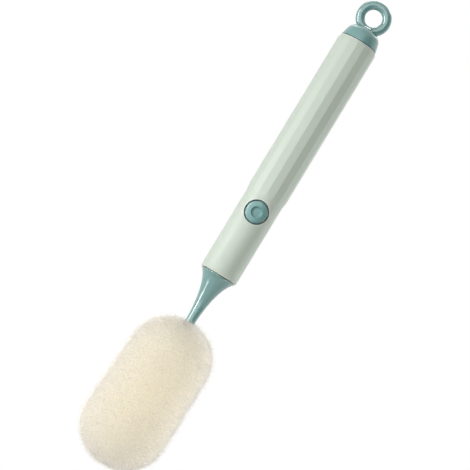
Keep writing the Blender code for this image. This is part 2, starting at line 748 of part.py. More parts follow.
def shank(material):
    """Plug with two flats, a tapered nose, the clip's groove and a blind hole for the wire."""
    groove_low = BUTTON_Z - CLIP_SLOT_HALF
    groove_high = BUTTON_Z + CLIP_SLOT_HALF
    hole_top = SHANK_BOTTOM_Z + WIRE_IN_SHANK + FIT_GAP
    profile = [
        (0, SHANK_TOP_Z),
        (SHANK_NOSE_R, SHANK_TOP_Z),
        (SHANK_R, SHANK_TOP_Z - SHANK_NOSE_HEIGHT),
        (SHANK_R, groove_high),
        (GROOVE_R, groove_high),
        (GROOVE_R, groove_low),
        (SHANK_R, groove_low),
        (SHANK_R, SHANK_BOTTOM_Z),
        (WIRE_BORE_R, SHANK_BOTTOM_Z),
        (WIRE_BORE_R, hole_top),
        (0, hole_top),
    ]
    piece = turned("shank", profile, material, SMALL_SIDES)
    reach = SHANK_R + FIT_GAP
    low = (-reach, -SHANK_FLAT, SHANK_BOTTOM_Z - FIT_GAP)
    high = (reach, SHANK_FLAT, SHANK_TOP_Z + FIT_GAP)
    combine(piece, block("shank_flats", low, high, material), "INTERSECT")
    combine(piece, pin_hole("shank_pin_hole", material), "DIFFERENCE")
    return piece


def stem_wire(material):
    """Two strands twisted together, made as one solid: a two-lobed section that turns as it falls."""
    top = SHANK_BOTTOM_Z + WIRE_IN_SHANK
    bottom = ANCHOR_TOP_Z - ANCHOR_SOCKET + FIT_GAP
    steps_a_turn = 6
    steps = max(steps_a_turn, round(steps_a_turn * (top - bottom) / WIRE_PITCH))
    turn_a_step = math.tau / steps_a_turn
    lobe = []
    for degrees in (-140, -72, 0, 72, 140):
        angle = math.radians(degrees)
        lobe.append(Vector((WIRE_R + WIRE_R * math.cos(angle), WIRE_R * math.sin(angle), 0)))
    section = lobe + [Vector((-point.x, -point.y, 0)) for point in lobe]
    shape = bmesh.new()
    rings = []
    for step in range(steps + 1):
        turn = Matrix.Rotation(turn_a_step * step, 3, "Z")
        height = Vector((0, 0, bottom + (top - bottom) * step / steps))
        rings.append([shape.verts.new(turn @ point + height) for point in section])
    for first, second in zip(rings, rings[1:]):
        for i in range(len(section)):
            shape.faces.new((first[i - 1], first[i], second[i], second[i - 1]))
    shape.faces.new(rings[0])
    shape.faces.new(rings[-1])
    return finish("stem_wire", shape, material)


def sponge_anchor(material):
    """Plug on the wire's lower end, which the foam holds on to."""
    socket_bottom = ANCHOR_TOP_Z - ANCHOR_SOCKET
    profile = [
        (WIRE_BORE_R, ANCHOR_TOP_Z),
        (ANCHOR_R - END_ROUND, ANCHOR_TOP_Z),
        (ANCHOR_R, ANCHOR_TOP_Z - END_ROUND),
        (ANCHOR_R, ANCHOR_BOTTOM_Z + END_ROUND),
        (ANCHOR_R - END_ROUND, ANCHOR_BOTTOM_Z),
        (0, ANCHOR_BOTTOM_Z),
    ]
    profile = [(0, socket_bottom), (WIRE_BORE_R, socket_bottom)] + profile
    return turned("sponge_anchor", profile, material, SMALL_SIDES)


def sponge(material):
    """Foam capsule with a blind bore for the neck's tongue, the wire and the anchor."""
    tongue_r = NECK_TIP_R + FIT_GAP
    anchor_r = ANCHOR_R + FIT_GAP
    tongue_floor = NECK_END_Z - NECK_TONGUE - FIT_GAP
    anchor_roof = ANCHOR_TOP_Z + FIT_GAP
    anchor_floor = ANCHOR_BOTTOM_Z - FIT_GAP
    top_centre = (0, SPONGE_TOP_Z - SPONGE_TOP_R)
    bottom_centre = (0, SPONGE_BOTTOM_Z + SPONGE_BOTTOM_R)
    mouth_deg = math.degrees(math.acos(tongue_r / SPONGE_TOP_R))
    profile = [(0, anchor_floor), (anchor_r, anchor_floor), (anchor_r, anchor_roof)]
    profile += [(WIRE_BORE_R, anchor_roof), (WIRE_BORE_R, tongue_floor), (tongue_r, tongue_floor)]
    profile += arc(top_centre, SPONGE_TOP_R, mouth_deg, 0, 7)
    profile += arc(bottom_centre, SPONGE_BOTTOM_R, 0, -84, 7)
    profile += [(0, SPONGE_BOTTOM_Z)]
    return turned("sponge", profile, material, SOFT_SIDES)


def ride(pieces, name, place):
    """Parents a moving piece to an empty on its joint's axis."""
    empty = bpy.data.objects.new(name, None)
    empty.location = place
    bpy.context.scene.collection.objects.link(empty)
    for piece in pieces:
        piece.parent = empty
        piece.matrix_parent_inverse = Matrix.Translation(-Vector(place))


def main():
    clear_scene()
    teal = plastic("teal_plastic", (0.16, 0.33, 0.32), 0.28)
    mint = plastic("mint_plastic", (0.62, 0.72, 0.61), 0.38)
    button_teal = plastic("button_teal", (0.17, 0.34, 0.34), 0.4)
    white = plastic("white_moulding", (0.75, 0.76, 0.74), 0.45)
    rubber = plastic("seal_rubber", (0.08, 0.08, 0.08), 0.7)
    steel = plastic("spring_steel", (0.55, 0.56, 0.58), 0.3, 1.0)
    foam = plastic("cream_foam", (0.86, 0.77, 0.6), 0.95)

    ring = hanging_ring(teal)
    washer = ring_washer(white)
    clip = ring_clip(steel)
    ride([ring, washer, clip], "ring_swivel_axis", (0, 0, 0))

    end_cap(teal)
    seal("cap_seal", CAP_SPIGOT_R, SEAM_Z - SEAL_FROM_SHOULDER, rubber)
    barrel(mint)
    mouth_collar(white)
    housing_front(white)
    housing_half("housing_rear", 1, white)
    for number, (x, z) in enumerate(screw_places(), 1):
        housing_screw(number, x, z, steel)
    latch_clip(steel)
    button_spring("button_spring_upper", 1, steel)
    button_spring("button_spring_lower", -1, steel)

    push_button(button_teal)

    head = [neck(teal), shank(white), neck_pin(steel)]
    neck_seal_z = FLANGE_Z + NECK_SEAL_FROM_FLANGE
    head += [seal("neck_seal", SPIGOT_R, neck_seal_z, rubber), stem_wire(steel)]
    head += [sponge_anchor(white), sponge(foam)]
    ride(head, "head_release_axis", (0, 0, MOUTH_Z))


main()
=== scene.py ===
# %% [markdown]
# Dressing a sponge bottle brush
#
# The brush hangs from its ring. A teal ring and cap close the top of a mint handle, a round
# button sits low on its front, and a teal trumpet carries the cream foam head. The working
# model comes in as a fixed frame. This lesson gives each piece its fine shape and its finish,
# and then lights it as the studio photograph does.
#
# The frame is loaded first, because every size below is read from it or set against it.

# %% Load the frame
import json
import math
import random

import bmesh
import bpy
from mathutils import Matrix, Vector


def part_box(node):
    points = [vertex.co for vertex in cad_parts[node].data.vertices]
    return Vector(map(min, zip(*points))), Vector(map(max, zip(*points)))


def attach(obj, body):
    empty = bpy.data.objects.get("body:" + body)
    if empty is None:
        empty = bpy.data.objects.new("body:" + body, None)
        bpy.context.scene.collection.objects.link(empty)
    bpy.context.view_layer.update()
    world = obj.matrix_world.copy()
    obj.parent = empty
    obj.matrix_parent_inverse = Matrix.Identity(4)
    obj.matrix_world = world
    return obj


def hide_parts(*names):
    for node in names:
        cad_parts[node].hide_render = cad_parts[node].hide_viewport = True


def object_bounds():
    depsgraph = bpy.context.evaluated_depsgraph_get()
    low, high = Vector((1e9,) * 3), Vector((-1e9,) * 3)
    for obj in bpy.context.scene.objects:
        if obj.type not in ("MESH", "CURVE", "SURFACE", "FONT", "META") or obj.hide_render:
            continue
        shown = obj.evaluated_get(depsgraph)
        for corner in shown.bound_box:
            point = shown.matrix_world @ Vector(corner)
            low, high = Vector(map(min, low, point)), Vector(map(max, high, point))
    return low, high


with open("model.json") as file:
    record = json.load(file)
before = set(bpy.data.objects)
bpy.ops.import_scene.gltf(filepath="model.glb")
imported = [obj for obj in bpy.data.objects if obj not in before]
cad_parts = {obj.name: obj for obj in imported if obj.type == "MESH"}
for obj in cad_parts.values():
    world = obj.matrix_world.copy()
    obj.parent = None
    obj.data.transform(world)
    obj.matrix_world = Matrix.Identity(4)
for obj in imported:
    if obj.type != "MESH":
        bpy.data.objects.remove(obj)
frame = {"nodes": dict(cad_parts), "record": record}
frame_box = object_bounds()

MM = 0.001
low, high = frame_box
print("frame, mm:", [round(side / MM, 1) for side in high - low])

# %% [markdown]
# The camera
#
# The photograph looks almost square on to the brush, from a little below, with a long lens, and
# it is turned so that the brush leans across the picture. A camera could be aimed by a
# constraint, but a roll is easier to state than to track: three directions, to the right, up
# and back, are the columns of its turn.

# %% Place the camera
LENS_MM = 153.2
SENSOR_MM = 36.0
CAMERA_DISTANCE = 1.2925
CAMERA_ROLL_DEG = 31.21
CAMERA_TILT_DEG = 3.28
AIM = Vector((-4.2 * MM, 0, -167.5 * MM))

roll = math.radians(CAMERA_ROLL_DEG)
tilt = math.radians(CAMERA_TILT_DEG)
look = Vector((0, math.cos(tilt), math.sin(tilt)))
upright = Vector((0, -math.sin(tilt), math.cos(tilt)))
sideways = Vector((1, 0, 0))
picture_right = math.sin(roll) * upright + math.cos(roll) * sideways
picture_up = math.cos(roll) * upright - math.sin(roll) * sideways
bpy.ops.object.camera_add(location=AIM - CAMERA_DISTANCE * look)
camera = bpy.context.object
camera.name = "photo_camera"
camera.data.lens = LENS_MM
camera.data.sensor_width = SENSOR_MM
camera.rotation_mode = "QUATERNION"
turn = Matrix((picture_right, picture_up, -look)).transposed()
camera.rotation_quaternion = turn.to_quaternion()
bpy.context.scene.camera = camera
bpy.context.scene.view_settings.view_transform = "Standard"
print("camera, m:", [round(value, 3) for value in camera.location])

# %% [markdown]
# The light
#
# The handle has a sharp shadow edge on its right, a thin bright streak on its left and soft
# light in front, and its right edge is a little lighter again. One lamp can't give all four. So
# a narrow strip makes the shadow edge, and a brighter one beside it, which only shows in gloss,
# draws the streak. A broad box in front fills in, and a tall one behind at the right lights the
# right edge and stays out of the gloss. One above and behind shows only in the gloss, on the
# tops of the cap and the ring. All are area lamps, because their shape shows in the gloss, and
# each is placed by its angle round the brush, counted from the camera.

# %% Hang the lamps
LIT_CENTRE = Vector((0, 0, -0.17))


def softbox(name, turn_deg, rise_deg, distance, size, power, aim=LIT_CENTRE, grid_deg=180):
    """An area lamp that looks at aim. turn_deg goes round to the picture's right."""
    turn, rise = math.radians(turn_deg), math.radians(rise_deg)
    flat = math.cos(rise)
    away = Vector((math.sin(turn) * flat, -math.cos(turn) * flat, math.sin(rise)))
    bpy.ops.object.light_add(type="AREA", location=aim + distance * away)
    lamp = bpy.context.object
    lamp.name = name
    lamp.rotation_mode = "QUATERNION"
    lamp.rotation_quaternion = (-away).to_track_quat("-Z", "Y")
    lamp.data.shape = "RECTANGLE"
    lamp.data.size, lamp.data.size_y = size
    lamp.data.energy = power
    lamp.data.spread = math.radians(grid_deg)
    return lamp


LAMPS = (
    # name, turn and rise in degrees, distance and size in metres, power in watts
    ("key_strip", -60, -14, 0.9, (0.22, 0.95), 3.6),
    ("shine_strip", -66, 0, 0.9, (0.24, 0.75), 5.0),
    ("front_fill", -22, 10, 1.3, (1.4, 1.4), 8.9),
    ("rim_softbox", 115, 0, 0.9, (0.45, 0.95), 5.2),
    ("top_card", 185, 62, 1.0, (1.2, 0.6), 5.2),
)
lamps = {values[0]: softbox(*values) for values in LAMPS}
lamps["shine_strip"].visible_diffuse = False
lamps["top_card"].visible_diffuse = False
lamps["rim_softbox"].visible_glossy = False
print("lamps:", list(lamps))

# %% [markdown]
# The foam is nearly white all round, so it needs light from the sides and from behind that the
# handle doesn't get. Three small lamps with a grid in front do that. A grid narrows the beam
# and keeps the power, so they are very weak.

# %% Light the foam
FOAM_AIM = Vector((0, 0, -0.305))
FOAM_LAMP_DISTANCE = 0.6
FOAM_LAMP_SIZE = (0.1, 0.1)
FOAM_GRID_DEG = 20
FOAM_LAMPS = (
    # name, turn and rise in degrees, power in watts
    ("foam_right", 75, 5, 0.009),
    ("foam_left", -125, -5, 0.006),
    ("foam_behind", 165, 42, 0.022),
)
for name, turn_deg, rise_deg, power in FOAM_LAMPS:
    place = (turn_deg, rise_deg, FOAM_LAMP_DISTANCE)
    lamp = softbox(name, *place, FOAM_LAMP_SIZE, power, FOAM_AIM, FOAM_GRID_DEG)
    lamp.visible_glossy = False
    print("lamp:", name)

# %% [markdown]
# In the photograph, all glossy pieces have a dark band on their right, where they mirror
# something dark that stands beside the camera. A photographer's black card does that. Only the
# brush sees it: it is hidden from the camera and casts no shadow.

# %% Stand up the black card
CARD_TURN_DEG = 42
CARD_DISTANCE = 0.75
CARD_Z = 0.12
CARD_SIZE = (0.4, 1.0)
CARD_COLOUR = (0.02, 0.02, 0.02, 1.0)
CARD_ROUGHNESS = 0.9
turn = math.radians(CARD_TURN_DEG)
bpy.ops.mesh.primitive_plane_add(
    size=1,
    location=(math.sin(turn) * CARD_DISTANCE, -math.cos(turn) * CARD_DISTANCE, CARD_Z),
    rotation=(math.pi / 2, 0, turn),
    scale=(*CARD_SIZE, 1),
)
card = bpy.context.object
card.name = "black_card"
bpy.ops.object.transform_apply(location=True, rotation=True, scale=True)
card_paint = bpy.data.materials.new("card_paint")
card_paint.use_nodes = True
shader = card_paint.node_tree.nodes["Principled BSDF"]
shader.inputs["Base Color"].default_value = CARD_COLOUR
shader.inputs["Roughness"].default_value = CARD_ROUGHNESS
card.data.materials.append(card_paint)
card.visible_camera = False
card.visible_shadow = False
print("black card at", CARD_TURN_DEG, "degrees")

# %% [markdown]
# The surroundings
#
# The photograph's ground is plain white, and the plastic mirrors it at its edges. More light
# would bleach the brush, so the world keeps one level for lighting and shows white only to the
# camera and to reflections. A Light Path node tells these rays apart.

# %% Set the world and the floor
WORLD_LIGHT = 0.32
WORLD_TINT = (1.0, 0.985, 0.93, 1.0)
FLOOR_Z = -1.3
FLOOR_SIZE = 9.0


def seen_directly(tree):
    """A value of 1 for the camera's own rays, for reflections and for rays through glass."""
    path = tree.nodes.new("ShaderNodeLightPath")
    total = path.outputs["Is Camera Ray"]
    for ray in ("Is Glossy Ray", "Is Transmission Ray"):
        either = tree.nodes.new("ShaderNodeMath")
        either.operation = "MAXIMUM"
        tree.links.new(total, either.inputs[0])
        tree.links.new(path.outputs[ray], either.inputs[1])
        total = either.outputs[0]
    return total


world = bpy.data.worlds.new("white_studio")
world.use_nodes = True
tree = world.node_tree
tree.nodes.clear()
dim = tree.nodes.new("ShaderNodeBackground")
dim.inputs["Strength"].default_value = WORLD_LIGHT
white = tree.nodes.new("ShaderNodeBackground")
white.inputs["Strength"].default_value = 1.0
mix = tree.nodes.new("ShaderNodeMixShader")
output = tree.nodes.new("ShaderNodeOutputWorld")
dim.inputs["Color"].default_value = WORLD_TINT
white.inputs["Color"].default_value = (1.0, 1.0, 1.0, 1.0)
tree.links.new(seen_directly(tree), mix.inputs["Fac"])
tree.links.new(dim.outputs[0], mix.inputs[1])
tree.links.new(white.outputs[0], mix.inputs[2])
tree.links.new(mix.outputs[0], output.inputs["Surface"])
bpy.context.scene.world = world

bpy.ops.mesh.primitive_plane_add(size=FLOOR_SIZE, location=(0, 0, FLOOR_Z))
floor = bpy.context.object
floor.name = "studio_floor"
print("floor at", FLOOR_Z, "m")

# %% [markdown]
# The floor is painted nearly white. It has to go on showing the brush's shadow, so it isn't
# simply made to glow: seen by the camera, it is part paint and part plain white, and the paint
# part carries the shadow.

# %% Paint the floor
FLOOR_GLOW_SHARE = 0.8
FLOOR_COLOUR = (0.85, 0.85, 0.85, 1.0)
floor_paint = bpy.data.materials.new("floor_paint")
floor_paint.use_nodes = True
tree = floor_paint.node_tree
tree.nodes.clear()
paint = tree.nodes.new("ShaderNodeBsdfDiffuse")
paint.inputs["Color"].default_value = FLOOR_COLOUR
glow = tree.nodes.new("ShaderNodeEmission")
share = tree.nodes.new("ShaderNodeMath")
share.operation = "MULTIPLY"
share.inputs[1].default_value = FLOOR_GLOW_SHARE
mix = tree.nodes.new("ShaderNodeMixShader")
output = tree.nodes.new("ShaderNodeOutputMaterial")
tree.links.new(seen_directly(tree), share.inputs[0])
tree.links.new(share.outputs[0], mix.inputs["Fac"])
tree.links.new(paint.outputs[0], mix.inputs[1])
tree.links.new(glow.outputs[0], mix.inputs[2])
tree.links.new(mix.outputs[0], output.inputs["Surface"])
floor.data.materials.append(floor_paint)

# %% [markdown]
# Shader groups
#
# Several finishes share the same small effects, so each effect is a node group with named
# inputs. The first is the skin of a moulded plastic. Even a clean new moulding isn't one flat
# colour: the pigment is slightly cloudy, the mould's grain breaks up the gloss, and handling
# leaves dull patches. Sizes go in as metres, because the pieces are modelled in metres.

# %% Helpers that build groups
def new_group(name, inputs, outputs):
    """An empty shader group. inputs are (name, kind, value) and outputs are (name, kind)."""
    group = bpy.data.node_groups.new(name, "ShaderNodeTree")
    for label, kind, value in inputs:
        socket = group.interface.new_socket(label, in_out="INPUT", socket_type=kind)
        socket.default_value = value
    for label, kind in outputs:
        group.interface.new_socket(label, in_out="OUTPUT", socket_type=kind)
    start = group.nodes.new("NodeGroupInput")
    end = group.nodes.new("NodeGroupOutput")
    return group, start, end


def math_node(tree, operation, first, second):
    """A Math node. Each side is a socket or a plain number."""
    node = tree.nodes.new("ShaderNodeMath")
    node.operation = operation
    for value, socket in ((first, node.inputs[0]), (second, node.inputs[1])):
        if isinstance(value, (int, float)):
            socket.default_value = value
        else:
            tree.links.new(value, socket)
    return node.outputs[0]


def noise_node(tree, size, detail, stretch=(1, 1, 1)):
    """Noise on Object coordinates whose lumps are about as large as size, in metres."""
    place = tree.nodes.new("ShaderNodeTexCoord")
    mapping = tree.nodes.new("ShaderNodeMapping")
    mapping.inputs["Scale"].default_value = stretch
    noise = tree.nodes.new("ShaderNodeTexNoise")
    noise.inputs["Detail"].default_value = detail
    tree.links.new(place.outputs["Object"], mapping.inputs["Vector"])
    tree.links.new(mapping.outputs["Vector"], noise.inputs["Vector"])
    tree.links.new(math_node(tree, "DIVIDE", 1.0, size), noise.inputs["Scale"])
    return noise.outputs["Fac"]


def swing_node(tree, noise):
    """Turns noise, which runs from 0 to 1, into a swing from -1 to 1."""
    return math_node(tree, "MULTIPLY", math_node(tree, "SUBTRACT", noise, 0.5), 2.0)


FLOAT, COLOUR = "NodeSocketFloat", "NodeSocketColor"

# %% The moulded skin
PATCH_SHARE = 0.4
skin, start, end = new_group(
    "moulded_skin",
    [
        ("Colour", COLOUR, (0.5, 0.5, 0.5, 1.0)),
        ("Cloud size", FLOAT, 0.02),
        ("Cloud share", FLOAT, 0.04),
        ("Grain size", FLOAT, 0.0004),
        ("Gloss", FLOAT, 0.3),
        ("Gloss spread", FLOAT, 0.1),
    ],
    [("Colour", COLOUR), ("Roughness", FLOAT), ("Height", FLOAT)],
)
cloud = swing_node(skin, noise_node(skin, start.outputs["Cloud size"], detail=3.0))
lift = math_node(skin, "MULTIPLY", cloud, start.outputs["Cloud share"])
shade = skin.nodes.new("ShaderNodeHueSaturation")
skin.links.new(math_node(skin, "ADD", lift, 1.0), shade.inputs["Value"])
skin.links.new(start.outputs["Colour"], shade.inputs["Color"])
skin.links.new(shade.outputs["Color"], end.inputs["Colour"])
patch_size = math_node(skin, "MULTIPLY", start.outputs["Cloud size"], PATCH_SHARE)
patch = swing_node(skin, noise_node(skin, patch_size, detail=4.0))
patch = math_node(skin, "MULTIPLY", patch, start.outputs["Gloss spread"])
skin.links.new(math_node(skin, "ADD", patch, start.outputs["Gloss"]), end.inputs["Roughness"])
grain = noise_node(skin, start.outputs["Grain size"], detail=2.0)
skin.links.new(grain, end.inputs["Height"])
print("group:", skin.name)

# %% [markdown]
# The second group is fine rubbing marks, which run along the handle where a hand slides over
# it. They are noise stretched some eighty times along Z and cut down to its highest crests,
# and a coarser noise breaks them up. They only change the gloss and the height.

# %% The rubbing marks
MARK_STRETCH = (1, 1, 0.012)
CREST_LOW, CREST_HIGH = 0.62, 0.78
BREAK_SIZE = 12 * MM
marks, start, end = new_group(
    "rubbing_marks",
    [("Width", FLOAT, 0.0003), ("Amount", FLOAT, 0.5)],
    [("Mask", FLOAT)],
)
streak = noise_node(marks, start.outputs["Width"], detail=2.0, stretch=MARK_STRETCH)
crest = marks.nodes.new("ShaderNodeMapRange")
crest.inputs["From Min"].default_value = CREST_LOW
crest.inputs["From Max"].default_value = CREST_HIGH
marks.links.new(streak, crest.inputs["Value"])
break_up = noise_node(marks, BREAK_SIZE, detail=2.0)
seen = math_node(marks, "MULTIPLY", crest.outputs["Result"], break_up)
marks.links.new(math_node(marks, "MULTIPLY", seen, start.outputs["Amount"]), end.inputs["Mask"])
print("group:", marks.name)

# %% [markdown]
# Moulded plastics
#
# With the groups in place, a plastic is one function: the groups feed colour, gloss and height,
# and everything that is the same all over is set on the shader's own sockets. The ring and the
# trumpet are a glossy teal, and the cap is the same teal with a softer gloss. The handle is a
# satin mint, and the button a lighter, satin teal. Inside, the mouldings are white and the
# seals are black.

# %% Mix the plastics
BARE_GRAIN_HEIGHT = 0.004 * MM
COATED_GRAIN_HEIGHT = 0.001 * MM


def new_material(name):
    """A material with one Principled BSDF, and its node tree and shader."""
    material = bpy.data.materials.new(name)
    material.use_nodes = True
    tree = material.node_tree
    return material, tree, tree.nodes["Principled BSDF"]


def use_group(tree, group, **values):
    """Places a group. Each value goes to the input of that name, with _ for a space."""
    node = tree.nodes.new("ShaderNodeGroup")
    node.node_tree = group
    for label, value in values.items():
        node.inputs[label.replace("_", " ")].default_value = value
    return node


def raise_bump(tree, shader, height, distance):
    """Joins a height to the shader's normal. A height of 1 is distance metres."""
    bump = tree.nodes.new("ShaderNodeBump")
    bump.inputs["Distance"].default_value = distance
    tree.links.new(height, bump.inputs["Height"])
    tree.links.new(bump.outputs["Normal"], shader.inputs["Normal"])


def plastic(name, colour, gloss, spread, grain, rubbed=0.0, coat=0.0, haze=0.09, shine=0.5):
    """Moulded plastic.

    gloss is a roughness, 0 for a mirror, and spread is how far it varies. grain is the size of
    the mould's texture in metres, and rubbed the amount of rubbing marks. coat is the weight of
    a clear layer and haze its roughness, and shine is the specular level under it.
    """
    material, tree, shader = new_material(name)
    body = use_group(
        tree,
        skin,
        Colour=(*colour, 1.0),
        Gloss=gloss,
        Gloss_spread=spread,
        Grain_size=grain,
    )
    rub = use_group(tree, marks, Amount=rubbed)
    tree.links.new(body.outputs["Colour"], shader.inputs["Base Color"])
    dull = math_node(tree, "ADD", body.outputs["Roughness"], rub.outputs["Mask"])
    tree.links.new(dull, shader.inputs["Roughness"])
    height = math_node(tree, "SUBTRACT", body.outputs["Height"], rub.outputs["Mask"])
    raise_bump(tree, shader, height, COATED_GRAIN_HEIGHT if coat else BARE_GRAIN_HEIGHT)
    shader.inputs["Coat Weight"].default_value = coat
    shader.inputs["Coat Roughness"].default_value = haze
    shader.inputs["Specular IOR Level"].default_value = shine
    return material


TEAL = (0.18, 0.37, 0.36)
MINT = (0.665, 0.75, 0.665)
BUTTON_TEAL = (0.215, 0.415, 0.405)
INNER_WHITE = (0.74, 0.75, 0.73)
SEAL_BLACK = (0.035, 0.036, 0.038)
# each has its name, colour, gloss, spread, grain and rubbed
teal_gloss = plastic("teal_gloss", TEAL, 0.14, 0.02, 0.35 * MM, 0.03, coat=1.0)
teal_soft = plastic("teal_soft", TEAL, 0.3, 0.03, 0.35 * MM, 0.05, coat=0.7, haze=0.18)
mint_satin = plastic("mint_satin", MINT, 0.42, 0.06, 0.3 * MM, 0.16, shine=0.2)
button_satin = plastic("button_satin", BUTTON_TEAL, 0.3, 0.04, 0.25 * MM, 0.04, shine=0.4)
white_moulding = plastic("white_moulding", INNER_WHITE, 0.45, 0.08, 0.4 * MM)
seal_rubber = plastic("seal_rubber", SEAL_BLACK, 0.6, 0.1, 0.15 * MM)

# %% [markdown]
# Spring steel
#
# The clips, springs, screws and the twisted wire are drawn steel. Drawing leaves fine lines and
# a slightly uneven gloss. The parts are small and lie in every direction, so the lines are a
# fine noise that is longer along one axis, and a larger noise makes faint tarnish.

# %% Mix the steel
LINE_SIZE = 0.12 * MM
LINE_STRETCH = (1, 1, 0.15)
LINE_ROUGHNESS = 0.6
LINE_HEIGHT = 0.01 * MM
TARNISH_SIZE = 3 * MM
TARNISH_SPAN = (0.35, 0.65)
TARNISHED = (0.44, 0.43, 0.41)
BRIGHT = (0.62, 0.62, 0.63)


def ramp_node(tree, mask, first, second, span=(0.0, 1.0)):
    """A colour that goes from the first to the second where the mask goes over the span."""
    ramp = tree.nodes.new("ShaderNodeValToRGB")
    for stop, position, colour in zip(ramp.color_ramp.elements, span, (first, second)):
        stop.position = position
        stop.color = (*colour, 1.0)
    tree.links.new(mask, ramp.inputs["Fac"])
    return ramp.outputs["Color"]


spring_steel, tree, shader = new_material("spring_steel")
drawn = noise_node(tree, LINE_SIZE, detail=3.0, stretch=LINE_STRETCH)
tarnish = noise_node(tree, TARNISH_SIZE, detail=4.0)
colour = ramp_node(tree, tarnish, TARNISHED, BRIGHT, TARNISH_SPAN)
tree.links.new(colour, shader.inputs["Base Color"])
tree.links.new(math_node(tree, "MULTIPLY", drawn, LINE_ROUGHNESS), shader.inputs["Roughness"])
shader.inputs["Metallic"].default_value = 1.0
raise_bump(tree, shader, drawn, LINE_HEIGHT)
print("metal:", spring_steel.name)

# %% [markdown]
# Tools for shaping
#
# The pieces are shaped with the same tools that a hand would use: a primitive, then edit mode.
# Operators act on whatever is selected, so each step begins with nothing selected, and edges
# and faces are then picked by where they are.

# %% Helpers that shape
def rest():
    """Back to object mode with nothing selected."""
    if bpy.context.object and bpy.context.object.mode != "OBJECT":
        bpy.ops.object.mode_set(mode="OBJECT")
    bpy.ops.object.select_all(action="DESELECT")


def open_piece(name):
    """Names the primitive that was just added, fixes its place in its mesh and opens it."""
    piece = bpy.context.object
    piece.name = name
    piece.data.name = name
    bpy.ops.object.transform_apply(location=True, rotation=True, scale=True)
    bpy.ops.object.mode_set(mode="EDIT")
    bpy.ops.mesh.select_mode(type="VERT")
    return piece


def pick(kind, test):
    """In edit mode, selects only the parts of one kind that pass the test, and counts them."""
    bpy.ops.mesh.select_mode(type=kind)
    bpy.ops.mesh.select_all(action="DESELECT")
    mesh = bpy.context.object.data
    shape = bmesh.from_edit_mesh(mesh)
    parts = {"VERT": shape.verts, "EDGE": shape.edges, "FACE": shape.faces}[kind]
    found = [part for part in parts if test(part)]
    for part in found:
        part.select_set(True)
    shape.select_flush_mode()
    bmesh.update_edit_mesh(mesh)
    return len(found)


def apply_modifier(piece, kind, **settings):
    """Adds a modifier with these settings and applies it."""
    rest()
    bpy.context.view_layer.objects.active = piece
    piece.select_set(True)
    modifier = piece.modifiers.new(kind.lower(), kind)
    for setting, value in settings.items():
        setattr(modifier, setting, value)
    bpy.ops.object.modifier_apply(modifier=modifier.name)


def combine(piece, tool, operation):
    """Cuts the tool from the piece, or joins it to the piece, and removes the tool."""
    apply_modifier(piece, "BOOLEAN", operation=operation, object=tool, solver="EXACT")
    bpy.data.objects.remove(tool, do_unlink=True)


def dress(piece, body, material, nodes, smooth_deg=32):
    """Finishes a piece: its shading and material, its body, and what it replaces."""
    rest()
    bpy.context.view_layer.objects.active = piece
    piece.select_set(True)
    bpy.ops.object.shade_smooth_by_angle(angle=math.radians(smooth_deg))
    piece.data.materials.clear()
    piece.data.materials.append(material)
    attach(piece, body)
    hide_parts(*nodes)
    piece.data.calc_loop_triangles()
    print(f"{piece.name}: {len(piece.data.loop_triangles)} triangles")


# %% [markdown]
# Most of this brush is turned: the cap, the trumpet and the foot of the ring are outlines swept
# round the handle's axis. An outline is drawn by extruding one corner again and again, and Spin
# sweeps it. Smooth stretches are cubic curves with two pull points, and sharp rims are
# softened afterwards with Bevel, as a mould maker breaks each edge.

# %% Helpers that turn
NEAR = 0.02 * MM
MERGE_DISTANCE = 0.001 * MM


def curve(start, pull, ease, end, steps):
    """Points on a cubic curve between two (radius, height) points, both ends included."""
    points = []
    for step in range(steps + 1):
        t = step / steps
        shares = ((1 - t) ** 3, 3 * t * (1 - t) ** 2, 3 * t**2 * (1 - t), t**3)
        corners = (start, pull, ease, end)
        points.append(tuple(sum(s * c[axis] for s, c in zip(shares, corners)) for axis in (0, 1)))
    return points


def spin_outline(name, outline, sides):
    """Draws (radius, height) points by extruding a corner, and spins them round Z."""
    rest()
    radius, height = outline[0]
    bpy.ops.mesh.primitive_plane_add(size=MM, location=(radius, 0, height))
    piece = open_piece(name)
    bpy.ops.mesh.merge(type="CENTER")
    for here, there in zip(outline, outline[1:]):
        step = (there[0] - here[0], 0, there[1] - here[1])
        bpy.ops.mesh.extrude_region_move(TRANSFORM_OT_translate={"value": step})
    bpy.ops.mesh.select_all(action="SELECT")
    bpy.ops.mesh.spin(steps=sides, angle=math.tau, center=(0, 0, 0), axis=(0, 0, 1))
    bpy.ops.mesh.select_all(action="SELECT")
    bpy.ops.mesh.remove_doubles(threshold=MERGE_DISTANCE)
    bpy.ops.mesh.normals_make_consistent(inside=False)
    return piece


def soften_rims(rims):
    """Bevels rims that run round Z, each given as (radius, height, width)."""
    for radius, height, width in rims:

        def on_rim(edge):
            return all(
                abs(vert.co.xy.length - radius) < NEAR and abs(vert.co.z - height) < NEAR
                for vert in edge.verts
            )

        if pick("EDGE", on_rim) == 0:
            raise ValueError(f"no rim at radius {radius / MM:.2f} mm, height {height / MM:.2f} mm")
        bpy.ops.mesh.bevel(offset=width, segments=3, affect="EDGES")


# %% [markdown]
# The cap
#
# The cap is a low dome with a round pocket on top for the ring's foot, and below it a spigot
# that plugs into the handle. It could be a squashed sphere, but its outline is what the photo
# shows best, so it is turned. The frame gives its heights and its outer radius.

